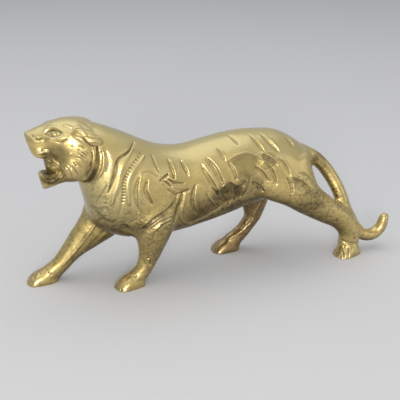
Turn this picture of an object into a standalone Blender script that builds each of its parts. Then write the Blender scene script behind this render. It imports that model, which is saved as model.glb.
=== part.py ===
# Tiger figurine: one solid brass casting of a striding, roaring tiger.
# Its tail comes down behind the near hind leg, joins it above the ankle and curls up again.
# The tiger faces -X and its left side is -Y. The origin lies under the middle of it, on the
# plane that the four soles stand on. Tables are in millimetres and the model is in metres.

import math

import bmesh
import bpy
import numpy as np
from mathutils import Matrix, Vector

MM = 0.001

# Driving sizes, in millimetres, and angles in degrees.
LENGTH = 238.0
HEIGHT = 106.0
CHEST_HALF_WIDTH = 20.5
RUMP_HALF_WIDTH = 18.0
CHEST_X = -40.0
RUMP_X = 50.0
HEAD_HALF_WIDTH = 15.5
HEAD_TURN = 5.0
NECK_X = -76.0
FORE_TRACK = 22.5
HIND_TRACK = 30.5
SHOULDER_BULGE = 2.0
PAW_LENGTH = 20.0
PAW_WIDTH = 13.5
PAW_HEIGHT = 10.0
TOE_RADIUS = 2.8
TOE_COUNT = 4
TOE_GROOVE_DEPTH = 0.5
TOE_GROOVE_HALF_WIDTH = 0.7
TAIL_DIAMETER = 9.2
TAIL_TIP_DIAMETER = 6.6
EAR_LENGTH = 18.0
EAR_HEIGHT = 9.0
EAR_THICKNESS = 6.0
EAR_X = -80.2
EAR_Z = 99.4
EAR_INSET = 2.4
EAR_PITCH = 26.0
EAR_SPLAY = 8.0
STRIPE_DEPTH = 1.0
CREASE_DEPTH = 1.6
RIDGE_HEIGHT = 0.9
SCOOP_LIMIT = 2.6
SOLE_CUT = 2.2
SOLE_CUTTER = (400.0, 200.0, 50.0)

# Roundness of the rings: 2 is an ellipse and more is squarer.
TORSO_FULLNESS = 2.25
SKULL_FULLNESS = 2.2
JAW_FULLNESS = 2.4
PAW_FULLNESS = 2.4

# A toe's three radii, the height of its centre and its distance behind the paw's tip, all as shares
# of TOE_RADIUS, and how much the outer toes stay back for each square millimetre across.
TOE_SHAPE = (1.35, 0.86, 1.0)
TOE_LIFT = 0.85
TOE_SETBACK = 1.15
TOE_CURVE = 0.09

# The share of the paw's length where the toe grooves start, and how far a paw's loft goes under the
# ground as a share of its height.
TOE_GROOVE_START = 0.6
PAW_UNDER = 0.25

# Carving starts where the skin's normal points this far outwards and is full FLANK_REACH further on.
FLANK_START = 0.15
FLANK_REACH = 0.25

# A carved line's half width as a share of its width, the share of that left at its ends, and the
# most that all lines together push, as a share of CREASE_DEPTH inwards and RIDGE_HEIGHT outwards.
LINE_HALF_WIDTH = 0.58
LINE_END_WIDTH = 0.2
PUSH_LIMIT = 1.6

# A hollow is scooped where the skin's normal points this far towards its opening.
HOLLOW_SIDE = 0.3

# Mesh sizes, in millimetres, and the number of triangles that the solid keeps.
BODY_VOXEL = 1.3
FINE_VOXEL = 0.8
BODY_SMOOTHING = 9
FINE_SMOOTHING = 3
RING_POINTS = 28
STEPS_PER_SECTION = 4
STEPS_PER_POINT = 5
BALL_SEGMENTS = 24
BALL_RINGS = 14
KEPT_TRIANGLES = 11700

BRASS = (0.62, 0.47, 0.17, 1.0)
BRASS_ROUGHNESS = 0.32

# The tables give x and z for a casting of this length and height. These places follow LENGTH and
# HEIGHT, while the widths, thicknesses and depths have their own values.
DRAWN_LENGTH = 238.7
DRAWN_HEIGHT = 106.0

# A section is (top x, top z, bottom x, bottom z, half width as a share, middle y).
TORSO = [
    (-84, 105.6, -88, 78, 0.50, 0),
    (-76, 104.6, -85.5, 67, 0.74, 0),
    (-66, 100.6, -83, 56, 0.90, 0),
    (-56, 96, -81, 46, 1.0, 0),
    (-46, 90.8, -73, 37.5, 1.04, 0),
    (-35, 86.5, -60, 32, 1.03, 0),
    (-22, 85.0, -40, 30.2, 1.0, 0),
    (-8, 87.4, -20, 32.4, 1.0, 0),
    (8, 90, 2, 37.2, 1.0, 0),
    (24, 90.2, 20, 42.3, 1.0, 0),
    (39, 88.4, 36, 45.0, 0.98, 0),
    (51, 82.2, 48, 46.6, 0.88, 0),
    (60.2, 74.2, 57, 50, 0.66, 0),
    (66, 68, 62, 58.5, 0.3, 0),
]

# A leg section is (front x, front z, back x, back z, half width, distance from the track line).
NEAR_FORELEG = [
    (-65.5, 62, -33.5, 62, 8.0, 1.2),
    (-59.5, 48, -31, 50, 8.6, -2.4),
    (-56.2, 37, -32.2, 40, 8.2, -2.2),
    (-54.9, 29, -35.4, 31, 7.2, -1.4),
    (-54.6, 22.5, -38.8, 24, 6.2, -0.6),
    (-55.7, 16, -43.0, 16, 5.6, 0),
    (-59.6, 11.6, -47.5, 8.5, 5.6, 0),
    (-64.7, 9, -52.4, 3, 5.8, 0),
]
FAR_FORELEG = [
    (-79.5, 62, -46, 46, 9.0, 1.8),
    (-82.4, 48, -56.5, 32.2, 8.8, 0.2),
    (-86.4, 39.5, -67, 26, 8.0, 0.4),
    (-91.8, 31.9, -77.3, 20.6, 7.0, 0),
    (-97, 24, -86.0, 16, 6.2, 0),
    (-103.2, 16.2, -93.3, 9.6, 5.6, 0),
    (-109.6, 11.6, -99, 4, 5.8, 0),
]
NEAR_HIND_LEG = [
    (12, 62.5, 57, 76, 8.5, 4.5),
    (24, 50.6, 59.5, 64, 9.4, 1.9),
    (40.5, 42.8, 63.2, 54, 9.0, 0.4),
    (52.4, 35.3, 70.9, 46.4, 7.8, 0),
    (64.2, 28.7, 78.6, 40.5, 6.8, 0),
    (74.8, 23, 87.9, 33, 6.3, 0),
    (80.9, 16.5, 95.3, 22, 6.0, 0),
    (80.6, 9, 96.6, 11, 6.0, 0),
]
FAR_HIND_LEG = [
    (18, 66, 50, 66, 8.5, 4.5),
    (20.8, 54, 45.5, 49, 9.0, 1.9),
    (21.6, 40, 42.6, 36.8, 7.4, 0.6),
    (24.4, 31, 40.2, 29.7, 6.2, 0.2),
    (25.8, 25.5, 36.9, 21.6, 5.2, 0),
    (22.6, 19.9, 30.6, 13.8, 4.8, 0),
    (17.4, 15.5, 25.4, 8, 4.8, 0),
    (12, 12, 20.5, 3, 5.2, 0),
]

# The shoulder and the haunch, a mass on each side: centre x, distance of its centre inside the
# flank, centre z, the three radii and its pitch in degrees.
SHOULDER = (-52, 10 - SHOULDER_BULGE, 63, (17, 10, 22), 14)
HAUNCH = (34, 6.5, 67, (22, 8.5, 15), 20)

# A paw is (heel x, track, side, turn outwards in degrees).
PAWS = {
    "near_fore": (-50.6, FORE_TRACK, -1, 4),
    "far_fore": (-100.6, FORE_TRACK, 1, 2),
    "near_hind": (96.8, HIND_TRACK, -1, 12),
    "far_hind": (22.4, HIND_TRACK, 1, 2),
}

# A paw's outline forwards from its heel: share of its length, of its height and of its width.
PAW_PROFILE = [
    (0.02, 0.55, 0.62),
    (0.22, 0.98, 0.86),
    (0.50, 1.02, 1.0),
    (0.76, 0.80, 0.98),
    (0.95, 0.45, 0.74),
]

# The upper head, the lower jaw and the wall that closes the mouth between them, as torso sections.
SKULL = [
    (-73, 102.8, -77, 79, 0.80, 0),
    (-79, 105.9, -80, 73, 0.98, 0),
    (-86, 108, -85.5, 73, 1.0, 0),
    (-93, 108, -91.5, 79.5, 0.88, 0),
    (-98.5, 106.8, -97, 84.5, 0.72, 0),
    (-104, 105, -102.5, 86.4, 0.56, 0),
    (-108.6, 103.4, -106.6, 86.6, 0.48, 0),
    (-111.6, 102.2, -109.2, 87.2, 0.40, 0),
    (-113.5, 101.8, -110.6, 88, 0.30, 0),
    (-114.4, 101.0, -111.3, 89, 0.12, 0),
]
LOWER_JAW = [
    (-84, 88, -82, 71.6, 0.84, 0),
    (-90, 82, -88.5, 71.2, 0.74, 0),
    (-96, 78.5, -94, 71.3, 0.60, 0),
    (-102, 77.4, -100.5, 69, 0.54, 0),
    (-106, 77.6, -104.6, 67.4, 0.46, 0),
    (-107.7, 77.6, -106.1, 67, 0.32, 0),
    (-108.5, 77, -106.9, 68, 0.10, 0),
]
MOUTH_WALL = [
    (-84, 95, -84, 76, 0.62, 0),
    (-92, 94, -92, 76, 0.56, 0),
    (-99.5, 92, -98.5, 77, 0.46, 0),
    (-104, 90.4, -102.6, 78, 0.32, 0),
    (-105.4, 89.6, -104, 79, 0.14, 0),
]

# Masses of the face on each side: centre x, y, z and the three radii.
FACE_MASSES = [
    (-105.6, 4.3, 91.4, 5.6, 4.2, 4.6),
    (-109.2, 2.6, 98.4, 3.2, 3.0, 2.8),
    (-97.5, 6.2, 98.4, 6.4, 4.8, 3.6),
    (-87, 8.2, 84, 9.0, 7.2, 11.0),
]

# Hollows scooped out of the face: centre, the three radii and the way that each one opens.
HOLLOWS = [
    ((-101.6, 0.0, 79.4), (6.6, 6.6, 4.2), (0, 0, 1)),
    ((-112.8, 2.4, 97.2), (2.2, 1.3, 1.2), (-1, 0, 0)),
    ((-112.8, -2.4, 97.2), (2.2, 1.3, 1.2), (-1, 0, 0)),
]

# The tail's centreline: x, z, y and thickness as a share of its diameter.
TAIL = [
    (50, 75, 0, 1.25),
    (58.6, 71.4, -0.5, 1.10),
    (66.5, 67.2, -1.5, 1.0),
    (72.2, 61.9, -3.5, 0.96),
    (77.0, 54.8, -6, 0.96),
    (80.7, 47.4, -9, 0.96),
    (83.3, 40.2, -11, 0.98),
    (85.6, 33, -12.5, 0.98),
    (89, 26.5, -13.5, 0.98),
    (93, 20, -14, 0.94),
    (98.4, 14.0, -14, 0.90),
    (104.4, 12.0, -14, 0.88),
    (110.1, 13.3, -14, 0.88),
    (113.8, 17.6, -14, 0.84),
    (115, 22, -14, 0.78),
]

# Carved lines in the side view. Each has its points (x, z), a width and a share of STRIPE_DEPTH,
# of CREASE_DEPTH or of RIDGE_HEIGHT.
STRIPES = [
    ([(-50.5, 88.5), (-59, 81.5), (-63.5, 74.5), (-64.5, 66), (-67, 52)], 2.4, 0.7),
    ([(-54, 93), (-59, 89.5), (-65.5, 86.5), (-68.5, 79.5), (-73, 68)], 2.8, 1.0),
    ([(-53.5, 77), (-57, 70), (-57.5, 63), (-55.5, 53.5)], 3.4, 0.9),
    ([(-49.5, 75), (-52, 68.5), (-50.5, 63.5), (-46.5, 56.5)], 3.8, 0.9),
    ([(-44.5, 85.5), (-43.5, 81), (-42, 77)], 2.4, 0.7),
    ([(-35, 82.5), (-34.2, 77), (-32.8, 70)], 3.2, 0.8),
    ([(-27.5, 81), (-26.3, 76.5), (-24, 71)], 3.2, 0.7),
    ([(-16, 78), (-13.5, 71), (-9.5, 63.5), (-4, 56)], 4.8, 0.9),
    ([(-12.5, 81), (-9, 75.5), (-6, 69), (-2.5, 62)], 4.8, 0.9),
    ([(0.5, 78), (3.2, 72), (6, 64.5)], 4.0, 0.7),
    ([(-4.5, 85), (-2.5, 81), (-0.5, 77.5)], 2.6, 0.6),
    ([(6, 89.5), (9.5, 85.5)], 2.4, 0.6),
    ([(18, 89.5), (21.5, 84.5), (25, 79.5)], 3.0, 0.7),
    ([(25, 89.5), (29.5, 84), (35, 78.5)], 3.2, 0.7),
    ([(41.5, 85.5), (46.5, 79.5)], 2.6, 0.6),
    ([(21.5, 79.5), (27, 76), (33, 71)], 4.2, 0.8),
    ([(26, 73.5), (29, 67), (31.5, 59.5)], 3.8, 0.8),
    ([(17, 73.5), (22, 68), (27, 61.5)], 3.8, 0.8),
    ([(31.5, 77), (36.5, 72), (41, 63.5)], 3.4, 0.7),
    ([(37.5, 64.5), (40.5, 59), (41, 52.5)], 3.4, 0.8),
    ([(15.5, 63.5), (20, 59.5), (25, 54.5)], 4.4, 0.9),
    ([(-20, 67.5), (-22.5, 60), (-22.3, 53), (-19, 47)], 3.6, 0.9),
    ([(-14.5, 61), (-12, 55), (-7.5, 49)], 3.0, 0.5),
    ([(-3, 57), (0, 52.5), (2, 48)], 2.8, 0.5),
]
CREASES = [
    ([(-42.5, 71.5), (-39, 73), (-36, 74.8)], 2.6, 0.6),
    ([(-41.5, 72), (-38, 69.8), (-34.8, 66.5)], 2.2, 0.35),
    ([(-32, 62), (-28, 63), (-24, 63.5)], 2.4, 0.45),
    ([(-28.6, 63.5), (-29.5, 58.5), (-31.5, 53.5), (-33, 48), (-33.5, 42)], 3.2, 0.75),
]
# Edges of raised masses: points from front to back or downwards, how far the upper or back side
# rises and over what width, and how far the other side sinks and over what width.
EDGES = [
    (
        [(-64.5, 48.5), (-60, 44), (-56, 41.8), (-52, 45.5), (-46, 50.5), (-39, 53.5), (-33, 59)],
        0.9,
        12,
        1.8,
        6,
    ),
    ([(-1, 76), (3, 78.5), (8, 80), (14, 80.5), (19.5, 78.5), (25, 74.5)], 0.35, 8, 0.7, 11),
    ([(-9, 58), (-2.5, 62.5), (1.5, 65), (6.5, 62), (11, 64.5), (15, 60.5)], 0.4, 5, 0.8, 9),
    ([(40, 64.5), (46, 62), (52, 58), (57.5, 50)], 0.4, 5, 0.9, 8),
    ([(-80, 60), (-76, 53), (-70, 48)], 0.3, 5, 0.5, 5),
]
RIDGES = [
    ([(-56, 90.5), (-61.5, 85.5), (-65, 79.5), (-66.5, 74), (-71, 61)], 5.4, 0.85),
    ([(-49.5, 86), (-56.5, 80.5), (-60.8, 74), (-61.5, 67), (-61, 60)], 4.6, 0.8),
    ([(-26.5, 62), (-27.6, 56.5), (-29.2, 50), (-28.8, 45.5), (-25.8, 41.5)], 2.8, 0.6),
    ([(-37, 74), (-34.8, 71.5), (-30.5, 70.5)], 2.4, 0.5),
    ([(-53, 77), (-54.9, 72), (-55, 66), (-52.8, 59.5)], 2.8, 0.5),
]
FACE_GROOVES = [
    ([(-76.5, 95), (-76.8, 89.5), (-77.8, 84), (-80, 79), (-83, 74.5), (-86.5, 72.5)], 3.4, 1.5),
    ([(-87.5, 101.4), (-84.2, 100.2), (-81.4, 96.6), (-77.5, 94.6), (-72.5, 95.8)], 2.2, 1.0),
    ([(-103, 101.8), (-99, 104.3), (-95, 103.2)], 1.6, 0.6),
    ([(-98, 98.7), (-95.8, 98), (-92, 100)], 1.4, 0.6),
    ([(-109.3, 99.6), (-105.3, 99.9)], 1.4, 0.8),
    ([(-106.6, 93), (-102, 94.4), (-98.2, 86), (-94.8, 82.2)], 1.8, 0.8),
    ([(-86.4, 95.3), (-84, 93.4), (-81.6, 91.2)], 1.8, 0.6),
    ([(-88.2, 92.2), (-85.5, 90.4), (-82.6, 88.2)], 1.8, 0.6),
    ([(-89.4, 88.6), (-87, 86.4), (-85.2, 83.4)], 1.8, 0.6),
    ([(-91.6, 86.8), (-89.2, 84.4), (-87.2, 80.6)], 1.8, 0.6),
    ([(-94.4, 84.4), (-92.4, 81), (-90.4, 77)], 1.8, 0.6),
]
FACE_RIDGES = [
    ([(-74, 94), (-73.5, 88), (-75, 81.5), (-78.5, 76.5)], 3.0, 1.2),
    ([(-103.6, 103.4), (-100, 105), (-96, 104.6), (-93, 102.6)], 2.2, 0.5),
    ([(-101.8, 99.8), (-97, 100.6), (-92, 101.2)], 3.4, 0.6),
    ([(-109.4, 91.2), (-105, 92.6), (-101.5, 92.4)], 2.4, 0.7),
    ([(-88, 104.8), (-85, 104.3), (-82.2, 101.4)], 3.8, 0.7),
]


def clear_scene():
    for obj in list(bpy.data.objects):
        bpy.data.objects.remove(obj)


def make_collection(name):
    collection = bpy.data.collections.new(name)
    bpy.context.scene.collection.children.link(collection)
    return collection


def along(x):
    return x * LENGTH / DRAWN_LENGTH


def above(z):
    return SOLE_CUT + (z - SOLE_CUT) * HEIGHT / DRAWN_HEIGHT


def placed_sections(sections):
    return [(along(x0), above(z0), along(x1), above(z1), *rest) for x0, z0, x1, z1, *rest in sections]


def placed_line(points):
    return [(along(x), above(z)) for x, z in points]


def spline(rows, steps):
    """Rows of numbers joined by a Catmull-Rom curve, with this many steps between two rows."""
    rows = np.array(rows, float)
    steps = int(round(steps))
    padded = np.vstack([2 * rows[0] - rows[1], rows, 2 * rows[-1] - rows[-2]])
    out = []
    for i in range(1, len(padded) - 2):
        p0, p1, p2, p3 = padded[i - 1 : i + 3]
        for k in range(steps):
            t = k / steps
            out.append(
                0.5 * (2 * p1 + (p2 - p0) * t + (2 * p0 - 5 * p1 + 4 * p2 - p3) * t**2
                       + (3 * p1 - p0 - 3 * p2 + p3) * t**3)
            )
    out.append(rows[-1])
    return np.array(out)


def add_piece(bm, piece):
    """Adds a piece that was made on its own to the casting."""
    mesh = bpy.data.meshes.new("piece")
    piece.to_mesh(mesh)
    piece.free()
    bm.from_mesh(mesh)
    bpy.data.meshes.remove(mesh)


def add_loft(bm, sections, half_width, middle_y, fullness=2.0):
    """A closed skin through rings. Each ring stands on the line between a section's two points."""
    rings = []
    count = int(round(RING_POINTS))
    for x0, z0, x1, z1, share, offset in spline(sections, STEPS_PER_SECTION):
        y = middle_y(offset)
        centre = Vector(((x0 + x1) / 2, y, (z0 + z1) / 2)) * MM
        up = Vector(((x0 - x1) / 2, 0, (z0 - z1) / 2)) * MM
        side = Vector((0, half_width * share, 0)) * MM
        ring = []
        for k in range(count):
            angle = 2 * math.pi * k / count
            c, s = math.cos(angle), math.sin(angle)
            c = math.copysign(abs(c) ** (2 / fullness), c)
            s = math.copysign(abs(s) ** (2 / fullness), s)
            ring.append(bm.verts.new(centre + up * c + side * s))
        rings.append(ring)
    faces = [bm.faces.new(rings[0]), bm.faces.new(rings[-1])]
    for a, b in zip(rings, rings[1:]):
        for k in range(count):
            j = (k + 1) % count
            faces.append(bm.faces.new((a[k], a[j], b[j], b[k])))
    bmesh.ops.recalc_face_normals(bm, faces=faces)


def add_ball(bm, centre, radii, pitch=0.0, turn=0.0):
    """An ellipsoid at a point, pitched in the side view and turned about the vertical, in degrees."""
    frame = (
        Matrix.Translation(Vector(centre) * MM)
        @ Matrix.Rotation(math.radians(turn), 4, "Z")
        @ Matrix.Rotation(math.radians(pitch), 4, "Y")
        @ Matrix.Diagonal((*(r * MM for r in radii), 1.0))
    )
    around, up = int(round(BALL_SEGMENTS)), int(round(BALL_RINGS))
    bmesh.ops.create_uvsphere(bm, u_segments=around, v_segments=up, radius=1.0, matrix=frame)


def add_leg(bm, sections, track, side):
    add_loft(bm, placed_sections(sections), 1.0, lambda offset: side * (track / 2 - offset))


def add_paw(bm, heel_x, track, side, turn):
    """A paw lies forwards of its heel: a low loft with its toes as a row of ellipsoids."""
    paw = bmesh.new()
    low = -PAW_UNDER * PAW_HEIGHT
    sections = [
        (-forward * PAW_LENGTH, height * PAW_HEIGHT, -forward * PAW_LENGTH, low, width, 0)
        for forward, height, width in PAW_PROFILE
    ]
    add_loft(paw, sections, PAW_WIDTH / 2, lambda offset: 0.0, fullness=PAW_FULLNESS)
    toes = int(round(TOE_COUNT))
    for k in range(toes):
        across = (k - (toes - 1) / 2) * PAW_WIDTH / toes
        reach = PAW_LENGTH - TOE_RADIUS * TOE_SETBACK - TOE_CURVE * across**2
        add_ball(paw, (-reach, across, TOE_RADIUS * TOE_LIFT), [TOE_RADIUS * share for share in TOE_SHAPE])
    place = Matrix.Translation(Vector((along(heel_x), side * track / 2, 0)) * MM)
    paw.transform(place @ Matrix.Rotation(math.radians(-side * turn), 4, "Z"))
    add_piece(bm, paw)


def add_tail(bm):
    """A bevelled curve whose points follow the tail, made a mesh and added to the casting."""
    curve = bpy.data.curves.new("tail_line", "CURVE")
    curve.dimensions = "3D"
    curve.bevel_depth = TAIL_DIAMETER / 2 * MM
    curve.bevel_resolution = 4
    curve.use_fill_caps = True
    points = spline([(along(x), above(z), y, share) for x, z, y, share in TAIL], STEPS_PER_SECTION)
    line = curve.splines.new("POLY")
    line.points.add(len(points) - 1)
    for point, (x, z, y, share) in zip(line.points, points):
        point.co = (x * MM, y * MM, z * MM, 1.0)
        point.radius = share
    rod = bpy.data.objects.new("tail_line", curve)
    bpy.context.scene.collection.objects.link(rod)
    graph = bpy.context.evaluated_depsgraph_get()
    mesh = bpy.data.meshes.new_from_object(rod.evaluated_get(graph))
    bpy.data.objects.remove(rod)
    bm.from_mesh(mesh)
    bmesh.ops.remove_doubles(bm, verts=bm.verts[-len(mesh.vertices) :], dist=0.001 * MM)
    x, z, y, share = points[-1]
    tip = TAIL_TIP_DIAMETER / 2
    add_ball(bm, (x, y, z), (tip, tip, tip * 1.35), pitch=25)


def add_head(bm):
    """Skull, jaw, mouth and ears, turned a little about the neck towards the far side."""
    head = bmesh.new()
    lofts = ((SKULL, SKULL_FULLNESS), (LOWER_JAW, JAW_FULLNESS), (MOUTH_WALL, JAW_FULLNESS))
    for sections, fullness in lofts:
        add_loft(head, placed_sections(sections), HEAD_HALF_WIDTH, lambda y: y, fullness)
    for side in (-1, 1):
        for x, y, z, *radii in FACE_MASSES:
            add_ball(head, (along(x), side * y, above(z)), radii)
        add_ball(
            head,
            (along(EAR_X), side * (HEAD_HALF_WIDTH - EAR_INSET), above(EAR_Z)),
            (EAR_LENGTH / 2, EAR_THICKNESS / 2, EAR_HEIGHT / 2),
            pitch=EAR_PITCH,
            turn=side * EAR_SPLAY,
        )
    head.transform(head_turn())
    add_piece(bm, head)


def head_turn():
    pivot = Matrix.Translation(Vector((along(NECK_X), 0, 0)) * MM)
    return pivot @ Matrix.Rotation(math.radians(-HEAD_TURN), 4, "Z") @ pivot.inverted()


def object_of(bm, name, collection):
    mesh = bpy.data.meshes.new(name)
    bm.to_mesh(mesh)
    bm.free()
    obj = bpy.data.objects.new(name, mesh)
    collection.objects.link(obj)
    return obj


def fuse(obj, voxel, smoothing):
    """Joins the overlapping skins into one and eases the places where they meet."""
    remesh = obj.modifiers.new("Fuse", "REMESH")
    remesh.mode = "VOXEL"
    remesh.voxel_size = voxel * MM
    smooth = obj.modifiers.new("Ease", "SMOOTH")
    smooth.factor = 0.5
    smooth.iterations = int(round(smoothing))
    apply_modifiers(obj)


def apply_modifiers(obj):
    graph = bpy.context.evaluated_depsgraph_get()
    mesh = bpy.data.meshes.new_from_object(obj.evaluated_get(graph))
    obj.modifiers.clear()
    obj.data = mesh


def model_body(collection):
    bm = bmesh.new()
    rows = []
    for x0, z0, x1, z1, share, y in TORSO:
        t = min(max((x0 - CHEST_X) / (RUMP_X - CHEST_X), 0), 1)
        rows.append((x0, z0, x1, z1, share * (CHEST_HALF_WIDTH * (1 - t) + RUMP_HALF_WIDTH * t), y))
    add_loft(bm, placed_sections(rows), 1.0, lambda y: y, fullness=TORSO_FULLNESS)
    for flank, (x, inset, z, radii, pitch) in ((CHEST_HALF_WIDTH, SHOULDER), (RUMP_HALF_WIDTH, HAUNCH)):
        for side in (-1, 1):
            add_ball(bm, (along(x), side * (flank - inset), above(z)), radii, pitch=pitch)
    add_leg(bm, NEAR_FORELEG, FORE_TRACK, -1)
    add_leg(bm, FAR_FORELEG, FORE_TRACK, 1)
    add_leg(bm, NEAR_HIND_LEG, HIND_TRACK, -1)
    add_leg(bm, FAR_HIND_LEG, HIND_TRACK, 1)
    for heel_x, track, side, turn in PAWS.values():
        add_paw(bm, heel_x, track, side, turn)
    body = object_of(bm, "body_rough", collection)
    fuse(body, BODY_VOXEL, BODY_SMOOTHING)
    return body


def model_casting(collection):
    body = model_body(collection)
    bm = bmesh.new()
    bm.from_mesh(body.data)
    bpy.data.objects.remove(body)
    add_head(bm)
    add_tail(bm)
    tiger = object_of(bm, "tiger", collection)
    fuse(tiger, FINE_VOXEL, FINE_SMOOTHING)
    return tiger


def nearest_on_line(points, line):
    """Distance to a bent line, share of its length at the nearest place and side, for many points."""
    line = np.array(line, float)
    lengths = np.hypot(*np.diff(line, axis=0).T)
    starts = np.concatenate([[0], np.cumsum(lengths)])
    best = np.full(len(points), 1e9)
    share = np.zeros(len(points))
    side = np.ones(len(points))
    for i, (a, b) in enumerate(zip(line, line[1:])):
        t = np.clip(((points - a) @ (b - a)) / lengths[i] ** 2, 0, 1)
        away = np.hypot(*(points - a - t[:, None] * (b - a)).T)
        closer = away < best
        best = np.where(closer, away, best)
        share = np.where(closer, (starts[i] + t * lengths[i]) / starts[-1], share)
        across = (points - a) @ np.array((a[1] - b[1], b[0] - a[0]))
        side = np.where(closer, np.sign(across), side)
    return best, share, side


def toe_grooves(places):
    """How deep each place lies in a groove between two toes, from 0 to 1."""
    depth = np.zeros(len(places))
    for heel_x, track, side, turn in PAWS.values():
        angle = math.radians(side * turn)
        away = places[:, :2] - (along(heel_x), side * track / 2)
        forward = -(away[:, 0] * math.cos(angle) - away[:, 1] * math.sin(angle)) / PAW_LENGTH
        across = away[:, 0] * math.sin(angle) + away[:, 1] * math.cos(angle)
        on_toes = np.clip((forward - TOE_GROOVE_START) / 0.3, 0, 1) * (forward < 1.3)
        on_toes *= places[:, 2] < PAW_HEIGHT / 2
        toes = int(round(TOE_COUNT))
        for k in range(1, toes):
            middle = (k - toes / 2) * PAW_WIDTH / toes
            depth = np.maximum(depth, on_toes * np.exp(-(((across - middle) / TOE_GROOVE_HALF_WIDTH) ** 2)))
    return depth


def scoop_hollows(places, normals):
    """Moves the skin inside each hollow's ellipsoid back onto the far side of the ellipsoid."""
    for (x, y, z), radii, opening in HOLLOWS:
        centre = np.array(head_turn() @ (Vector((along(x), y, above(z))) * MM))
        radii = np.array(radii) * MM
        rest = (places - centre) / radii
        inward = -normals / radii
        a = (inward**2).sum(1)
        b = (rest * inward).sum(1)
        c = (rest**2).sum(1) - 1
        inside = (c < 0) & (normals @ np.array(opening) > HOLLOW_SIDE)
        step = np.where(inside, (-b + np.sqrt(np.maximum(b * b - a * c, 0))) / a, 0)
        places += normals * -np.minimum(step, SCOOP_LIMIT * MM)[:, None]


def ease(low, high, value):
    t = np.clip((value - low) / (high - low), 0, 1)
    return t * t * (3 - 2 * t)


def raise_mass(side_view, edge):
    """How far the skin rises on one side of an edge and sinks on the other."""
    points, rise, rise_reach, sink, sink_reach = edge
    away, share, side = nearest_on_line(side_view, spline(placed_line(points), STEPS_PER_POINT))
    fade = ease(0, 0.2, share) * ease(0, 0.2, 1 - share)
    up = (side > 0) * rise * ease(-0.2, 0.8, away) * (1 - ease(rise_reach * 0.2, rise_reach, away))
    down = (side <= 0) * sink * ease(-0.2, 0.9, away) * (1 - ease(sink_reach * 0.15, sink_reach, away))
    return (up - down) * fade


def carve(tiger):
    """Pushes the skin in or out along the carved lines of both flanks."""
    mesh = tiger.data
    count = len(mesh.vertices)
    places = np.empty(count * 3)
    normals = np.empty(count * 3)
    mesh.vertices.foreach_get("co", places)
    mesh.vertices.foreach_get("normal", normals)
    places = places.reshape(-1, 3)
    normals = normals.reshape(-1, 3)
    outward = np.sign(places[:, 1]) * normals[:, 1]
    flank = np.clip((outward - FLANK_START) / FLANK_REACH, 0, 1)
    side_view = places[:, [0, 2]] / MM
    push = np.zeros(count)
    for edge in EDGES:
        push += raise_mass(side_view, edge) * flank
    passes = [
        (RIDGES, RIDGE_HEIGHT),
        (FACE_RIDGES, RIDGE_HEIGHT),
        (CREASES, -CREASE_DEPTH),
        (STRIPES, -STRIPE_DEPTH),
        (FACE_GROOVES, -STRIPE_DEPTH),
    ]
    for lines, height in passes:
        for points, width, strength in lines:
            away, share, _ = nearest_on_line(side_view, spline(placed_line(points), STEPS_PER_POINT))
            swell = np.sin(np.pi * share) ** 0.6
            half = width * LINE_HALF_WIDTH * (LINE_END_WIDTH + (1 - LINE_END_WIDTH) * swell)
            bowl = np.clip(1 - (away / half) ** 2, 0, 1) ** 1.25
            push += height * strength * bowl * flank
    push = np.clip(push, -PUSH_LIMIT * CREASE_DEPTH, PUSH_LIMIT * RIDGE_HEIGHT)
    push -= TOE_GROOVE_DEPTH * toe_grooves(places / MM)
    places += normals * (push * MM)[:, None]
    scoop_hollows(places, normals)
    mesh.vertices.foreach_set("co", places.ravel())
    mesh.update()


def cut_soles(tiger, helpers):
    """Trims everything under the standing plane, so that the soles are flat."""
    bpy.ops.mesh.primitive_cube_add(size=1.0)
    block = bpy.context.object
    block.name = "sole_cutter"
    for other in list(block.users_collection):
        other.objects.unlink(block)
    helpers.objects.link(block)
    block.data.transform(Matrix.Diagonal((*(size * MM for size in SOLE_CUTTER), 1.0)))
    block.location = (0, 0, (SOLE_CUT - SOLE_CUTTER[2] / 2) * MM)
    block.hide_render = True
    block.display_type = "WIRE"
    cut = tiger.modifiers.new("Soles", "BOOLEAN")
    cut.operation = "DIFFERENCE"
    cut.object = block
    apply_modifiers(tiger)


def thin_out(tiger):
    """Keeps the triangles where the form bends most."""
    tiger.data.calc_loop_triangles()
    count = len(tiger.data.loop_triangles)
    thin = tiger.modifiers.new("Thin", "DECIMATE")
    thin.ratio = min(1.0, KEPT_TRIANGLES / count)
    apply_modifiers(tiger)


def stand_over_origin(tiger):
    points = np.array([v.co for v in tiger.data.vertices])
    low, high = points.min(0), points.max(0)
    tiger.data.transform(Matrix.Translation((-(low[0] + high[0]) / 2, -(low[1] + high[1]) / 2, -low[2])))


def brass():
    material = bpy.data.materials.new("brass")
    material.use_nodes = True
    shader = material.node_tree.nodes["Principled BSDF"]
    shader.inputs["Base Color"].default_value = BRASS
    shader.inputs["Metallic"].default_value = 1.0
    shader.inputs["Roughness"].default_value = BRASS_ROUGHNESS
    return material


def main():
    clear_scene()
    casting = make_collection("tiger_figurine")
    helpers = make_collection("cutters")
    tiger = model_casting(casting)
    carve(tiger)
    thin_out(tiger)
    cut_soles(tiger, helpers)
    stand_over_origin(tiger)
    tiger.data.materials.clear()
    tiger.data.materials.append(brass())
    tiger.data.shade_smooth()


main()
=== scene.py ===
import math

import bmesh
import bpy
import numpy as np
from mathutils import Matrix, Vector, noise
from mathutils.kdtree import KDTree


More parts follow.
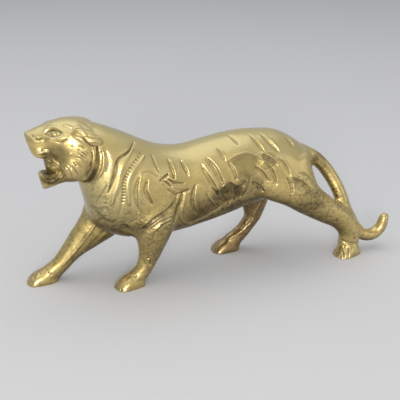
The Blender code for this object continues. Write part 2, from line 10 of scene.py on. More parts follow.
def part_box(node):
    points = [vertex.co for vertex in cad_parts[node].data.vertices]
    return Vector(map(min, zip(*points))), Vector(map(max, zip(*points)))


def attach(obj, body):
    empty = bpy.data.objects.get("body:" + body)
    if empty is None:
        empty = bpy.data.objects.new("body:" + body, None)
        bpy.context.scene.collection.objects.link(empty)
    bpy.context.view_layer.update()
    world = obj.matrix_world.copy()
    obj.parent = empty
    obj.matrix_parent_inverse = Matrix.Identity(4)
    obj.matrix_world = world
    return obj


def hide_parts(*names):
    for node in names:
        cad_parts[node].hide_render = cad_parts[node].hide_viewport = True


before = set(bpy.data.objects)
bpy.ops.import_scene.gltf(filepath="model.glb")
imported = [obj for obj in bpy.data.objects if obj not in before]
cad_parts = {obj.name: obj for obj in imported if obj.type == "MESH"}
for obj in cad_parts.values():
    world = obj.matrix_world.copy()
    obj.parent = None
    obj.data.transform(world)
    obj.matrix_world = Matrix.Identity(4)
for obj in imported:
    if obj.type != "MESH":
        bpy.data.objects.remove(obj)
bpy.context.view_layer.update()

mm = 0.001
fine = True

# A section is top x, top z, bottom x, bottom z, half width, sideways place. All in millimetres, side view.
torso = {
    "chestHalfWidth": 20.5,
    "rumpHalfWidth": 18,
    "chestX": -40,
    "rumpX": 50,
    "fullness": 2.25,
    "shoulderBulge": 2,
    "shoulder": {"x": -52, "z": 63, "inset": 10, "radii": (17, 10, 22), "pitch": 14},
    "haunch": {"x": 34, "z": 67, "inset": 6.5, "radii": (22, 8.5, 15), "pitch": 20},
    "sections": [
        (-84, 105.6, -88, 78, 0.5, 0),
        (-76, 104.6, -85.5, 67, 0.74, 0),
        (-66, 100.6, -83, 56, 0.9, 0),
        (-56, 96, -81, 46, 1, 0),
        (-46, 90.8, -73, 37.5, 1.04, 0),
        (-35, 86.5, -60, 32, 1.03, 0),
        (-22, 85, -40, 30.2, 1, 0),
        (-8, 87.4, -20, 32.4, 1, 0),
        (8, 90, 2, 37.2, 1, 0),
        (24, 90.2, 20, 42.3, 1, 0),
        (39, 88.4, 36, 45, 0.98, 0),
        (51, 82.2, 48, 46.6, 0.88, 0),
        (60.2, 74.2, 57, 50, 0.66, 0),
        (66, 68, 62, 58.5, 0.3, 0),
    ],
}

# A leg section is front x, front z, back x, back z, half width, distance inside the track line.
legs = {
    "foreTrack": 22.5,
    "hindTrack": 30.5,
    "innerCarvingFade": (36, 42),  # heights over which the carving inside the far legs ends
    "nearFore": [
        (-65.5, 62, -33.5, 62, 8, 1.2),
        (-59.5, 48, -31, 50, 8.6, -2.4),
        (-56.2, 37, -32.2, 40, 8.2, -2.2),
        (-54.9, 29, -35.4, 31, 7.2, -1.4),
        (-54.6, 22.5, -38.8, 24, 6.2, -0.6),
        (-55.7, 16, -43, 16, 5.6, 0),
        (-59.6, 11.6, -47.5, 8.5, 5.6, 0),
        (-64.7, 9, -52.4, 3, 5.8, 0),
    ],
    "farFore": [
        (-79.5, 62, -46, 46, 9, 1.8),
        (-82.4, 48, -56.5, 32.2, 8.8, 0.2),
        (-86.4, 39.5, -67, 26, 8, 0.4),
        (-91.8, 31.9, -77.3, 20.6, 7, 0),
        (-97, 24, -86, 16, 6.2, 0),
        (-103.2, 16.2, -93.3, 9.6, 5.6, 0),
        (-109.6, 11.6, -99, 4, 5.8, 0),
    ],
    "nearHind": [
        (12, 62.5, 57, 76, 8.5, 4.5),
        (24, 50.6, 59.5, 64, 9.4, 1.9),
        (40.5, 42.8, 63.2, 54, 9, 0.4),
        (52.4, 35.3, 70.9, 46.4, 7.8, 0),
        (64.2, 28.7, 78.6, 40.5, 6.8, 0),
        (74.8, 23, 87.9, 33, 6.3, 0),
        (80.9, 16.5, 95.3, 22, 6, 0),
        (80.6, 9, 96.6, 11, 6, 0),
    ],
    "farHind": [
        (18, 66, 50, 66, 8.5, 4.5),
        (20.8, 54, 45.5, 49, 9, 1.9),
        (21.6, 40, 42.6, 36.8, 7.4, 0.6),
        (24.4, 31, 40.2, 29.7, 6.2, 0.2),
        (25.8, 25.5, 36.9, 21.6, 5.2, 0),
        (22.6, 19.9, 30.6, 13.8, 4.8, 0),
        (17.4, 15.5, 25.4, 8, 4.8, 0),
        (12, 12, 20.5, 3, 5.2, 0),
    ],
}

# Each paw is heel x, track, side and turn outwards in degrees.
paws = {
    "length": 20,
    "width": 13.5,
    "height": 10,
    "toeRadius": 2.8,
    "toes": 4,
    "toeSetback": 1.15,  # in toe radii
    "toeCurve": 0.09,
    "toeLift": 0.85,
    "toeShape": (1.35, 0.86, 1),
    "fullness": 2.4,
    "below": 0.25,  # share of the height under the table, which is trimmed off
    "places": [
        (-50.6, "foreTrack", -1, 4),
        (-100.6, "foreTrack", 1, 2),
        (96.8, "hindTrack", -1, 12),
        (22.4, "hindTrack", 1, 2),
    ],
    # shares of the length, the height and the width
    "profile": [
        (0.02, 0.55, 0.62),
        (0.22, 0.98, 0.86),
        (0.5, 1.02, 1),
        (0.76, 0.8, 0.98),
        (0.95, 0.45, 0.74),
    ],
}

head = {
    "halfWidth": 15.5,
    "turn": 5,  # degrees, away from the camera
    "neckX": -76,
    "skullFullness": 2.2,
    "jawFullness": 2.4,
    "scoopLimit": 2.6,
    "skull": [
        (-73, 102.8, -77, 79, 0.8, 0),
        (-79, 105.9, -80, 73, 0.98, 0),
        (-86, 108, -85.5, 73, 1, 0),
        (-93, 108, -91.5, 79.5, 0.88, 0),
        (-98.5, 106.8, -97, 84.5, 0.72, 0),
        (-104, 105, -102.5, 86.4, 0.56, 0),
        (-108.6, 103.4, -106.6, 86.6, 0.48, 0),
        (-111.6, 102.2, -109.2, 87.2, 0.4, 0),
        (-113.5, 101.8, -110.6, 88, 0.3, 0),
        (-114.4, 101, -111.3, 89, 0.12, 0),
    ],
    "lowerJaw": [
        (-84, 88, -82, 71.6, 0.84, 0),
        (-90, 82, -88.5, 71.2, 0.74, 0),
        (-96, 78.5, -94, 71.3, 0.6, 0),
        (-102, 77.4, -100.5, 69, 0.54, 0),
        (-106, 77.6, -104.6, 67.4, 0.46, 0),
        (-107.7, 77.6, -106.1, 67, 0.32, 0),
        (-108.5, 77, -106.9, 68, 0.1, 0),
    ],
    # the wall that closes the mouth behind the lips
    "mouthWall": [
        (-84, 95, -84, 76, 0.62, 0),
        (-92, 94, -92, 76, 0.56, 0),
        (-99.5, 92, -98.5, 77, 0.46, 0),
        (-104, 90.4, -102.6, 78, 0.32, 0),
        (-105.4, 89.6, -104, 79, 0.14, 0),
    ],
    # x, y, z and three radii, on both sides
    "masses": [
        (-105.6, 4.3, 91.4, 5.6, 4.2, 4.6),
        (-109.2, 2.6, 98.4, 3.2, 3, 2.8),
        (-97.5, 6.2, 98.4, 6.4, 4.8, 3.6),
        (-87, 8.2, 84, 9, 7.2, 11),
    ],
    # centre, radii and the way that the hollow opens
    "hollows": [
        ((-101.6, 0, 79.4), (6.6, 6.6, 4.2), (0, 0, 1)),
        ((-112.8, 2.4, 97.2), (2.2, 1.3, 1.2), (-1, 0, 0)),
        ((-112.8, -2.4, 97.2), (2.2, 1.3, 1.2), (-1, 0, 0)),
    ],
    "ear": {
        "x": -80.2,
        "z": 99.4,
        "inset": 2.4,
        "length": 18,
        "height": 9,
        "thickness": 6,
        "pitch": 26,
        "splay": 8,
    },
}

# x, z, y and thickness as a share of the diameter
tail = {
    "diameter": 9.2,
    "tipDiameter": 6.6,
    "tipStretch": 1.35,
    "tipPitch": 25,
    "line": [
        (50, 75, 0, 1.25),
        (58.6, 71.4, -0.5, 1.1),
        (66.5, 67.2, -1.5, 1),
        (72.2, 61.9, -3.5, 0.96),
        (77, 54.8, -6, 0.96),
        (80.7, 47.4, -9, 0.96),
        (83.3, 40.2, -11, 0.98),
        (85.6, 33, -12.5, 0.98),
        (89, 26.5, -13.5, 0.98),
        (93, 20, -14, 0.94),
        (98.4, 14, -14, 0.9),
        (104.4, 12, -14, 0.88),
        (110.1, 13.3, -14, 0.88),
        (113.8, 17.6, -14, 0.84),
        (115, 22, -14, 0.78),
    ],
}

# Carved lines in the side view. Every line runs downwards, or from front to back, in millimetres.
carving = {
    # points, width, depth, height of the burr along the back edge, rows of tracer marks
    "leaves": [
        ([(-53.5, 77), (-57, 70), (-57.5, 63), (-55.5, 53.5)], 3.4, 0.75, 0.3, 1),
        ([(-49.5, 75), (-52, 68.5), (-50.5, 63.5), (-46.5, 56.5)], 3.8, 0.8, 0.45, 1),
        ([(-35, 82.5), (-34.2, 77), (-32.8, 70)], 3, 0.7, 0.7, 1),
        ([(-27.5, 81), (-26.3, 76.5), (-24, 71)], 3, 0.6, 0.4, 1),
        ([(-16, 78), (-13.5, 71), (-9.5, 63.5), (-4, 56)], 4.8, 0.8, 0.55, 1),
        ([(-12.5, 81), (-9, 75.5), (-6, 69), (-2.5, 62)], 5, 0.8, 0.6, 2),
        ([(0.5, 78), (3.2, 72), (6, 64.5)], 4, 0.65, 0.5, 1),
        ([(-4.5, 85), (-2.5, 81), (-0.5, 77.5)], 2.6, 0.5, 0.5, 0),
        ([(18, 89.5), (21.5, 84.5), (25, 79.5)], 2.8, 0.6, 0.4, 0),
        ([(25, 89.5), (29.5, 84), (35, 78.5)], 3.2, 0.65, 0.5, 0),
        ([(41.5, 85.5), (46.5, 79.5)], 2.4, 0.5, 0.4, 0),
        ([(21.5, 79.5), (27, 76), (33, 71)], 4.2, 0.75, 0.4, 2),
        ([(26, 73.5), (29, 67), (31.5, 59.5)], 3.8, 0.75, 0.5, 1),
        ([(17, 73.5), (22, 68), (27, 61.5)], 3.8, 0.7, 0.5, 1),
        ([(31.5, 77), (36.5, 72), (41, 63.5)], 3.4, 0.65, 0.5, 0),
        ([(37.5, 64.5), (40.5, 59), (41, 52.5)], 3.4, 0.7, 0.45, 1),
        ([(15.5, 63.5), (20, 59.5), (25, 54.5)], 4.4, 0.9, 0.4, 1),
        ([(-20, 67.5), (-22.5, 60), (-22.3, 53), (-19, 47)], 3.6, 0.8, 0.6, 1),
        ([(-14.5, 61), (-12, 55), (-7.5, 49)], 2.8, 0.5, 0.4, 0),
        ([(-10.5, 64), (-6.5, 58.5), (-4, 53.5)], 2.4, 0.4, 0.4, 0),
        ([(-3, 57), (0, 52.5), (2, 48)], 2.6, 0.5, 0.4, 0),
        ([(5.5, 61), (8, 56), (8.5, 51)], 2.4, 0.6, 0.4, 0),
    ],
    # a shallow gutter crossed by short chisel ticks
    "ticks": [([(-50.5, 88.5), (-59, 81.5), (-63.5, 74.5), (-64.5, 67), (-65.5, 60), (-67, 52)], 1.9)],
    # points, width, depth
    "cuts": [
        ([(-54, 93), (-59, 89.5), (-65.5, 86.5), (-68.5, 79.5), (-70.5, 74), (-73, 68)], 2.6, 1),
        ([(-73, 73), (-77, 66), (-79, 62)], 1.8, 0.4),
        ([(-44.5, 85.5), (-43.5, 81), (-42, 77)], 2.2, 0.6),
        ([(-42.5, 71.5), (-39, 73), (-36, 74.8)], 2.2, 1),
        ([(-52.5, 77.5), (-48, 78), (-43.5, 74.5)], 1.8, 0.3),
        ([(-41.5, 72), (-38, 69.8), (-34.8, 66.5)], 1.6, 0.6),
        ([(-37, 71.8), (-33, 69), (-27, 68)], 1.8, 0.7),
        ([(-38, 66), (-34, 62.5), (-30.5, 61)], 1.8, 0.5),
        ([(-32, 62), (-28, 63), (-24, 63.5)], 1.8, 0.8),
        ([(-28.6, 63.5), (-29.5, 58.5), (-31.5, 53.5), (-33, 48), (-33.5, 42)], 2.8, 1.3),
        ([(-63, 46.5), (-59, 43), (-56, 41), (-52, 44.5), (-46, 49.5), (-39, 52.5)], 1.8, 0.5),
        ([(-49, 43), (-43, 47), (-36.5, 48.5)], 1.8, 0.5),
        ([(-46, 40.5), (-40.5, 44.5), (-35.5, 45.5)], 1.8, 0.4),
        ([(6, 89.5), (9.5, 85.5)], 2.4, 0.6),
        ([(15, 67.5), (13.5, 60), (10.5, 52.5)], 2.6, 0.6),
        ([(-59, 36), (-56, 30)], 2, 0.4),
        ([(46, 66), (52, 64), (58, 58)], 2, 0.4),
        ([(57, 47), (61, 42)], 2.4, 0.5),
        ([(80.5, 13.8), (86, 11.6), (94, 10.6)], 2.2, 0.4),
        ([(85.4, 8.8), (84.6, 5.6), (84.2, 2.2)], 1.5, 0.7),
        ([(81.4, 7.4), (80.8, 2.2)], 1.3, 0.5),
        ([(89.6, 7.4), (89.8, 2.2)], 1.3, 0.4),
        ([(64, 61), (68, 55.5), (70.5, 50)], 2, 0.5),
        ([(-70, 36), (-78, 28), (-84, 21)], 4.2, 0.25),
        ([(-47.5, 26), (-45, 20), (-46, 14)], 2.4, 0.5),
    ],
    # points, width, height
    "ridges": [
        ([(-56, 90.5), (-61.5, 85.5), (-65, 79.5), (-66.5, 74), (-69.5, 67), (-71, 61)], 5.4, 0.8),
        ([(-49.5, 86), (-56.5, 80.5), (-60.8, 74), (-61.5, 67), (-61, 60)], 4.6, 0.75),
        ([(-53, 77), (-54.9, 72), (-55, 66), (-52.8, 59.5)], 2.6, 0.55),
        ([(-49, 73), (-49.7, 69.5), (-48, 64)], 2.6, 0.4),
        ([(-39.5, 73), (-36.5, 70.5), (-34, 67.5)], 2, 0.55),
        ([(-37, 74), (-34.8, 71.5), (-30.5, 70.5)], 2.2, 0.6),
        ([(-40.5, 71.5), (-37.2, 67.8), (-31, 63)], 2.2, 0.55),
        ([(-35, 67), (-30, 65.5), (-25, 65.5)], 2.2, 0.5),
        ([(-30.8, 63), (-31.8, 58), (-34, 53.5)], 2.2, 0.4),
        ([(-26.5, 62), (-27.6, 56.5), (-29.2, 50), (-28.8, 45.5), (-25.8, 41.5), (-20, 39.5)], 2.6, 0.6),
        ([(-52, 41.5), (-46, 46.3), (-40, 48.8), (-34, 49.2)], 2, 0.55),
        ([(-47.5, 41), (-41.5, 45.8), (-35, 47)], 1.8, 0.45),
        ([(-22, 37.5), (-12, 41), (-5, 44.8), (1, 48.6), (8, 50.8), (20, 52)], 1.7, 0.45),
        ([(1.8, 48), (3, 52), (4.5, 55)], 1.6, 0.35),
        ([(2, 78.6), (8, 80.6), (14, 81.1), (19.5, 79.2)], 1.5, 0.35),
        ([(-3.5, 62.6), (1.5, 65.6), (6.5, 62.7), (11, 65.1)], 1.4, 0.3),
        ([(82, 11.4), (87, 9.6), (94, 8.8)], 2, 0.4),
        ([(18, 79), (22, 79.8), (29, 80.5)], 2.2, 0.35),
        ([(-75, 42), (-82, 32.5), (-90, 22.5), (-98, 14)], 3, 0.6),
        ([(34, 36), (31, 29), (29, 22), (22, 15.5), (14, 11)], 2.6, 0.5),
        ([(23, 83), (23.5, 79.5), (22, 76)], 2, 0.3),
    ],
    # points, rise on the upper or back side with its reach, sink on the other side with its reach
    "steps": [
        (
            [(-64.5, 48.5), (-60, 44), (-56, 41.8), (-52, 45.5), (-46, 50.5), (-39, 53.5), (-33, 59)],
            0.9,
            12,
            1.8,
            6,
        ),
        ([(-1, 76), (3, 78.5), (8, 80), (14, 80.5), (19.5, 78.5), (25, 74.5)], 0.35, 8, 0.7, 11),
        ([(-9, 58), (-2.5, 62.5), (1.5, 65), (6.5, 62), (11, 64.5), (15, 60.5)], 0.4, 5, 0.8, 9),
        ([(40, 64.5), (46, 62), (52, 58), (57.5, 50)], 0.4, 5, 0.9, 8),
        ([(-80, 60), (-76, 53), (-70, 48)], 0.3, 5, 0.5, 5),
    ],
    # the same kind of cuts and ridges on the face and the ruff
    "faceCuts": [
        ([(-76.5, 95), (-76.8, 89.5), (-77.8, 84), (-80, 79), (-83, 74.5), (-86.5, 72.5)], 3.2, 1.7),
        ([(-79.6, 91.5), (-80, 87.5), (-82, 82.5)], 1.4, 0.5),
        ([(-71.8, 92), (-71.2, 86.5), (-73, 80.5)], 1.6, 0.5),
        ([(-80, 71), (-81.5, 67.5)], 1.4, 0.4),
        ([(-95, 77.4), (-98.5, 74), (-103.6, 71)], 3, 0.5),
        ([(-87.5, 101.4), (-84.2, 100.2), (-81.4, 96.6), (-77.5, 94.6), (-72.5, 95.8)], 1.8, 1),
        ([(-84, 102.8), (-80, 100.6), (-75, 99.4)], 1.3, 0.5),
        ([(-98, 98.7), (-95.8, 98), (-92, 100)], 1, 0.7),
        ([(-109.3, 99.6), (-107.6, 99), (-105.3, 99.9)], 1.3, 0.9),
        ([(-110.4, 101), (-109.6, 100.2)], 1, 0.6),
        (
            [(-106.4, 92.4), (-104.4, 93.6), (-102.3, 93.2), (-100.6, 90.4), (-98.4, 86.4), (-94.8, 82.2)],
            1.4,
            0.65,
        ),
        ([(-100, 88.6), (-97.6, 84.6), (-95.4, 82.6)], 1.1, 0.4),
        ([(-86.4, 96), (-84.4, 95.2), (-81.8, 92.8)], 1.2, 0.4),
        ([(-86.8, 94), (-84.2, 91.8), (-82.4, 89)], 1.2, 0.5),
        ([(-87.4, 91.6), (-85.2, 90.2), (-83, 88.2)], 1.1, 0.45),
        ([(-88.2, 89.6), (-86.2, 88.8)], 1.1, 0.35),
        ([(-88.8, 86.8), (-87.2, 85.4), (-85.2, 82.4)], 1.2, 0.4),
        ([(-90.4, 87), (-88.4, 84.2)], 1.1, 0.4),
        ([(-91.2, 84.4), (-89.2, 81.2), (-87.4, 78)], 1.2, 0.45),
        ([(-93.2, 85.8), (-91.2, 82.4)], 1.1, 0.4),
        ([(-93.6, 82.4), (-92, 79.6), (-90.8, 76)], 1.2, 0.45),
        ([(-91, 95.6), (-89.4, 96)], 1.1, 0.3),
        ([(-84, 107), (-81, 105.8), (-78, 104)], 1.3, 0.4),
        ([(-76, 105), (-73.6, 103)], 1.3, 0.3),
        ([(-80.5, 86), (-81.5, 82), (-84, 78)], 1.3, 0.4),
        ([(-108, 90.4), (-104.6, 89.2), (-101.5, 89.8)], 1.6, 0.6),
        ([(-104, 84), (-101.5, 82.6), (-98.5, 82.2)], 1.2, 0.35),
        ([(-103, 86.6), (-100.5, 85.4)], 1.2, 0.3),
    ],
    "faceRidges": [
        ([(-74, 94), (-73.5, 88), (-75, 81.5), (-78.5, 76.5)], 2.6, 1.1),
        ([(-79.2, 94.4), (-78.7, 89.5), (-80, 84.5)], 2, 0.6),
        ([(-103.6, 103), (-101, 104.6), (-97.8, 105), (-95, 104.2), (-92.4, 102)], 1.7, 0.35),
        ([(-102, 100.2), (-97, 100), (-91.5, 101)], 3.2, 0.5),
        ([(-106.8, 76.4), (-104.4, 74.4), (-100, 74.8), (-95.2, 79.8)], 1.5, 0.5),
        ([(-109.4, 91), (-105, 91.8), (-102.8, 91.2), (-101.6, 89.2)], 2, 0.6),
        ([(-110.4, 98.2), (-107.6, 97.4), (-104.6, 98.4)], 1.5, 0.2),
        ([(-93.2, 106), (-90.8, 105.8), (-88.4, 104.8)], 1.6, 0.6),
        ([(-88, 104.8), (-85, 104.3), (-82.2, 101.4)], 3.8, 0.7),
        ([(-81.6, 98.4), (-78, 98.4), (-74, 97.2)], 2.2, 0.6),
        ([(-86, 93.2), (-84.4, 92.8), (-82.6, 91.2)], 1.7, 0.6),
        ([(-83.6, 94), (-81.8, 92.6), (-80.4, 90.4)], 1.6, 0.5),
        ([(-86.6, 90.4), (-84.6, 88.8), (-82.6, 86.4)], 1.8, 0.6),
        ([(-92.6, 91), (-90.6, 91.8)], 1.8, 0.35),
        ([(-90.2, 85.4), (-88.4, 82.4), (-86.8, 79.6)], 1.7, 0.6),
        ([(-92.4, 84), (-90.6, 80.8), (-89, 77.4)], 1.6, 0.6),
        ([(-94.4, 83.4), (-92.8, 80.4), (-91.8, 77.4)], 1.5, 0.5),
    ],
    "deepest": 2.6,
    "highest": 1.6,
    # how far a face must turn to the side to be carved, and the reach to full depth
    "flank": (0.12, 0.25),
    # half width of cuts and ridges as a share of their width, and how much of it their ends keep
    "spread": 0.55,
    "narrowest": 0.15,
    "cutGrime": 0.9,
    # across runs from -1 at a leaf's front edge to 1 at its steep back edge
    "leaf": {
        "narrowest": 0.12,
        "slope": (-1.1, 0.3),
        "backWall": (0.6, 1),
        "burrPlace": 0.3,
        "burrWidth": 0.5,
        "burrStart": (0.05, 0.5),
        "grime": 0.3,
    },
    "endFade": (0, 0.2),
    # the last row gives each leaf's rows of marks their distance from its middle
    "tracer": {
        "pitch": 1.5,
        "radius": 0.45,
        "depth": 0.28,
        "start": 1.8,
        "stop": 1.6,
        "grime": 0.8,
        "rows": {0: (), 1: (0.15,), 2: (-0.8, 0.75)},
    },
    "tick": {
        "halfLength": 1,
        "halfWidth": 0.38,
        "depth": 0.4,
        "start": 1.5,
        "end": 0.8,
        "offset": 0.5,
        "grime": 0.85,
    },
    "gutter": {"reach": 4, "halfWidth": 0.9, "depth": 0.45, "grime": 0.3},
    "step": {
        "riseEdge": (-0.2, 0.8),
        "sinkEdge": (-0.2, 0.9),
        "riseFlat": 0.2,
        "sinkFlat": 0.15,
        "grime": 0.7,
    },
    # full depth up to the first height and none from the second, start and end as shares of the paw
    "toes": {
        "depth": 0.55,
        "halfWidth": 0.5,
        "heights": (2.5, 5.5),
        "start": (0.6, 0.9),
        "end": 1.4,
        "grime": 0.8,
    },
    # an almond with a rim, an iris in a ring and an upper lid
    "eye": {
        "x": -99.2,
        "z": 102.4,
        "halfLength": 4.4,
        "halfHeight": 1.7,
        "pitch": 8,
        "depth": 0.6,
        "iris": 1.3,
        "lineWidth": 0.3,
        "rimEnd": 1.05,
        "rimDepth": 0.7,
        "bowlEdge": (0, 0.25),
        "bowlDepth": 0.45,
        "ringDepth": 0.4,
        "irisRise": 0.12,
        "lidPlace": 0.7,
        "lidRise": 0.3,
        "rimGrime": (0.55, 0.35),
        "bowlGrime": (0.3, 0.2),
    },
}

# Rough, pitted places left by the sand mould: centre x, z, reach x, reach z and strength.
roughZones = [
    (-76, 58, 12, 14, 0.8),
    (-60, 49, 16, 9, 0.8),
    (-44, 42, 11, 10, 1),
    (-46, 20, 6, 18, 1),
    (-8, 46, 26, 12, 1),
    (4, 56, 12, 9, 1.2),
    (20, 59, 7, 7, 1),
    (27, 74, 7, 6, 0.8),
    (46, 58, 10, 9, 0.9),
    (56, 49, 12, 11, 1),
    (70, 38, 14, 14, 0.8),
    (-52, 8, 14, 9, 0.5),
    (-78, 40, 9, 9, 0.5),
    (30, 22, 14, 22, 0.9),
    (-84, 74, 8, 6, 0.4),
    (-101, 76, 6, 4, 0.8),
    (72, 58, 5, 14, 0.6),
    (-101, 84, 5, 6, 0.9),
    (24, 62, 14, 8, 0.5),
    (-36, 52, 8, 14, 0.6),
]

# Single pits and nicks: x, y, z, radius and depth.
nicks = [
    (-115.4, 8.5, 6.9, 1.1, 0.7),
    (-107.7, 8.5, 10.2, 0.6, 0.4),
    (-106.6, 7.8, 9.4, 0.7, 0.5),
    (-105.4, 7, 8.6, 0.7, 0.5),
    (-111.7, 8.5, 9, 0.7, 0.3),
    (-69.4, -14, 3.4, 0.8, 0.5),
    (-66.8, -17, 3, 0.8, 0.5),
    (-57.6, -15.5, 9.6, 1, 0.4),
    (-54.4, -16, 7.4, 0.8, 0.4),
    (58.2, -8, 69.4, 1.2, 0.7),
    (60.4, -6, 67.6, 1.2, 0.8),
    (-49.6, -17, 22, 1, 0.5),
    (-48.6, -17, 17.6, 1, 0.5),
]

# Dark places, partly stain and partly painted shade under the jaw, lips, belly and legs: centre x, z, reach
# x, reach z and strength. Dark places, taken as stain though some may be shade: centre x, z, reach x, reach
# z and strength.
stainAndShadePlaces = [
    (3, 54, 14, 10, 0.95),
    (12, 62, 7, 9, 0.6),
    (20, 58, 6, 6, 0.5),
    (27, 73, 6, 5, 0.5),
    (14, 72, 9, 8, 0.35),
    (-102, 88.5, 3.5, 1.6, 0.9),
    (-103, 80, 3, 6, 0.7),
    (66, 66, 3, 3, 0.8),
    (-80, 77, 3.5, 7, 0.8),
    (-100, 72, 8, 3, 1),
    (-93, 71.5, 8, 3.5, 0.8),
    (-101, 84.5, 4.5, 5, 0.8),
    (-54, 42.5, 7, 3.5, 0.8),
    (-32, 50, 4, 14, 0.4),
    (-42, 38, 9, 8, 0.35),
    (-74, 44, 8, 6, 0.5),
    (56, 46, 12, 6, 0.5),
    (70, 62, 4, 12, 0.5),
    (-8, 42, 24, 7, 0.95),
    (2, 49, 20, 7, 0.85),
    (-62, 36, 14, 6, 0.6),
    (52, 41, 16, 5, 0.8),
    (-36, 28, 4, 14, 0.7),
    (-80, 26, 6, 9, 0.4),
    (-97, 88, 6, 7, 0.6),
]

# Bright rims along two ridge crests, where the painted shade is left off: painted highlights. Points and
# width.
paintedHighlightRims = [
    ([(-22, 37.5), (-12, 41), (-5, 44.8), (1, 48.6), (8, 50.8), (20, 52)], 2.4),
    ([(-9, 58.5), (-2.5, 63), (1.5, 65.5), (6.5, 62.5), (11, 65), (15, 61)], 1.6),
]

surface = {
    "bodyVoxel": 1.3,
    "castVoxel": 0.8,
    "bodyEasing": 9,
    "castEasing": 3,
    "carvedEasing": 2,
    "carvedVoxel": 0.42 if fine else 0.75,
    "keptTriangles": 196000,
    "soleCut": 2.2,
    # height of the lumps, their two sizes, the smaller one's share, and where they grow weaker
    "waviness": 0.18,
    "waveSizes": (9.0, 3.8),
    "smallWave": 0.4,
    "waveFade": (72, 40, 0.3),
    # the same for the grain, which is cut off on top
    "roughness": 0.2,
    "grainSizes": (1.15, 2.3),
    "largeGrain": 0.7,
    "grainTop": (0.25, 1.3),
    "grainGrime": (1.1, 0.8),
    "zoneEdge": 1.2,
    "pits": 170,
    "pitRadius": (0.35, 0.8),
    "pitDepth": (0.08, 0.28),
    "pitFade": (72, 45, 0.004),
    "pitGrime": 0.7,
    "seed": 7,
}

curveSteps = 5  # rings and rod points between two rows
lineSteps = 6  # pieces of a carved line between two points


def splinePoints(rows, steps):  # Catmull-Rom through the rows
    rows = np.array(rows, float)
    padded = np.vstack([2 * rows[0] - rows[1], rows, 2 * rows[-1] - rows[-2]])
    out = []
    for i in range(1, len(padded) - 2):
        a, b, c, d = padded[i - 1 : i + 3]
        for k in range(steps):
            t = k / steps
            squared = (2 * a - 5 * b + 4 * c - d) * t**2
            cubed = (3 * b - a - 3 * c + d) * t**3
            out.append(0.5 * (2 * b + (c - a) * t + squared + cubed))
    out.append(rows[-1])
    return np.array(out)


def addLoft(bm, sections, halfWidth, placeY, fullness=2.0, ringPoints=32):  # a fullness of 2 gives ellipses
    rings = []
    for x0, z0, x1, z1, share, offset in splinePoints(sections, curveSteps):
        centre = Vector(((x0 + x1) / 2, placeY(offset), (z0 + z1) / 2)) * mm
        up = Vector(((x0 - x1) / 2, 0, (z0 - z1) / 2)) * mm
        side = Vector((0, halfWidth * share, 0)) * mm
        ring = []
        for k in range(ringPoints):
            angle = 2 * math.pi * k / ringPoints
            c, s = math.cos(angle), math.sin(angle)
            c = math.copysign(abs(c) ** (2 / fullness), c)
            s = math.copysign(abs(s) ** (2 / fullness), s)
            ring.append(bm.verts.new(centre + up * c + side * s))
        rings.append(ring)
    faces = [bm.faces.new(rings[0]), bm.faces.new(rings[-1])]
    for a, b in zip(rings, rings[1:]):
        for k in range(ringPoints):
            j = (k + 1) % ringPoints
            faces.append(bm.faces.new((a[k], a[j], b[j], b[k])))
    bmesh.ops.recalc_face_normals(bm, faces=faces)


def addBall(bm, centre, radii, pitch=0.0, turn=0.0):
    place = (
        Matrix.Translation(Vector(centre) * mm)
        @ Matrix.Rotation(math.radians(turn), 4, "Z")
        @ Matrix.Rotation(math.radians(pitch), 4, "Y")
        @ Matrix.Diagonal((*(r * mm for r in radii), 1.0))
    )
    bmesh.ops.create_uvsphere(bm, u_segments=32, v_segments=18, radius=1.0, matrix=place)


def addPiece(bm, piece):
    mesh = bpy.data.meshes.new("piece")
    piece.to_mesh(mesh)
    piece.free()
    bm.from_mesh(mesh)
    bpy.data.meshes.remove(mesh)


def applyModifiers(obj):
    graph = bpy.context.evaluated_depsgraph_get()
    mesh = bpy.data.meshes.new_from_object(obj.evaluated_get(graph))
    old = obj.data
    obj.modifiers.clear()
    obj.data = mesh
    bpy.data.meshes.remove(old)


def fuse(obj, voxel, easing):  # one closed skin, with its joins eased
    remesh = obj.modifiers.new("fuse", "REMESH")
    remesh.mode = "VOXEL"
    remesh.voxel_size = voxel * mm
    if easing:
        ease = obj.modifiers.new("ease", "SMOOTH")
        ease.factor = 0.5
        ease.iterations = easing
    applyModifiers(obj)


def newObject(name, data):
    obj = bpy.data.objects.new(name, data)
    bpy.context.scene.collection.objects.link(obj)
    return obj


def objectFrom(bm, name):
    mesh = bpy.data.meshes.new(name)
    bm.to_mesh(mesh)
    bm.free()
    return newObject(name, mesh)


def headTurn():
    pivot = Matrix.Translation(Vector((head["neckX"], 0, 0)) * mm)
    return pivot @ Matrix.Rotation(math.radians(-head["turn"]), 4, "Z") @ pivot.inverted()


def modelBody():
    bm = bmesh.new()
    chest, rump = torso["chestHalfWidth"], torso["rumpHalfWidth"]
    rows = []
    for x0, z0, x1, z1, share, y in torso["sections"]:
        t = min(max((x0 - torso["chestX"]) / (torso["rumpX"] - torso["chestX"]), 0), 1)
        rows.append((x0, z0, x1, z1, share * (chest * (1 - t) + rump * t), y))
    addLoft(bm, rows, 1.0, lambda y: y, fullness=torso["fullness"])
    for side in (-1, 1):
        for mass, width in ((torso["shoulder"], chest + torso["shoulderBulge"]), (torso["haunch"], rump)):
            place = (mass["x"], side * (width - mass["inset"]), mass["z"])
            addBall(bm, place, mass["radii"], pitch=mass["pitch"])
    for name, track, side in (
        ("nearFore", "foreTrack", -1),
        ("farFore", "foreTrack", 1),
        ("nearHind", "hindTrack", -1),
        ("farHind", "hindTrack", 1),
    ):
        middle = legs[track] / 2
        addLoft(bm, legs[name], 1.0, lambda offset: side * (middle - offset))
    for heelX, track, side, turn in paws["places"]:
        addPaw(bm, heelX, track, side, turn)
    body = objectFrom(bm, "bodyRough")
    fuse(body, surface["bodyVoxel"], surface["bodyEasing"])
    return body


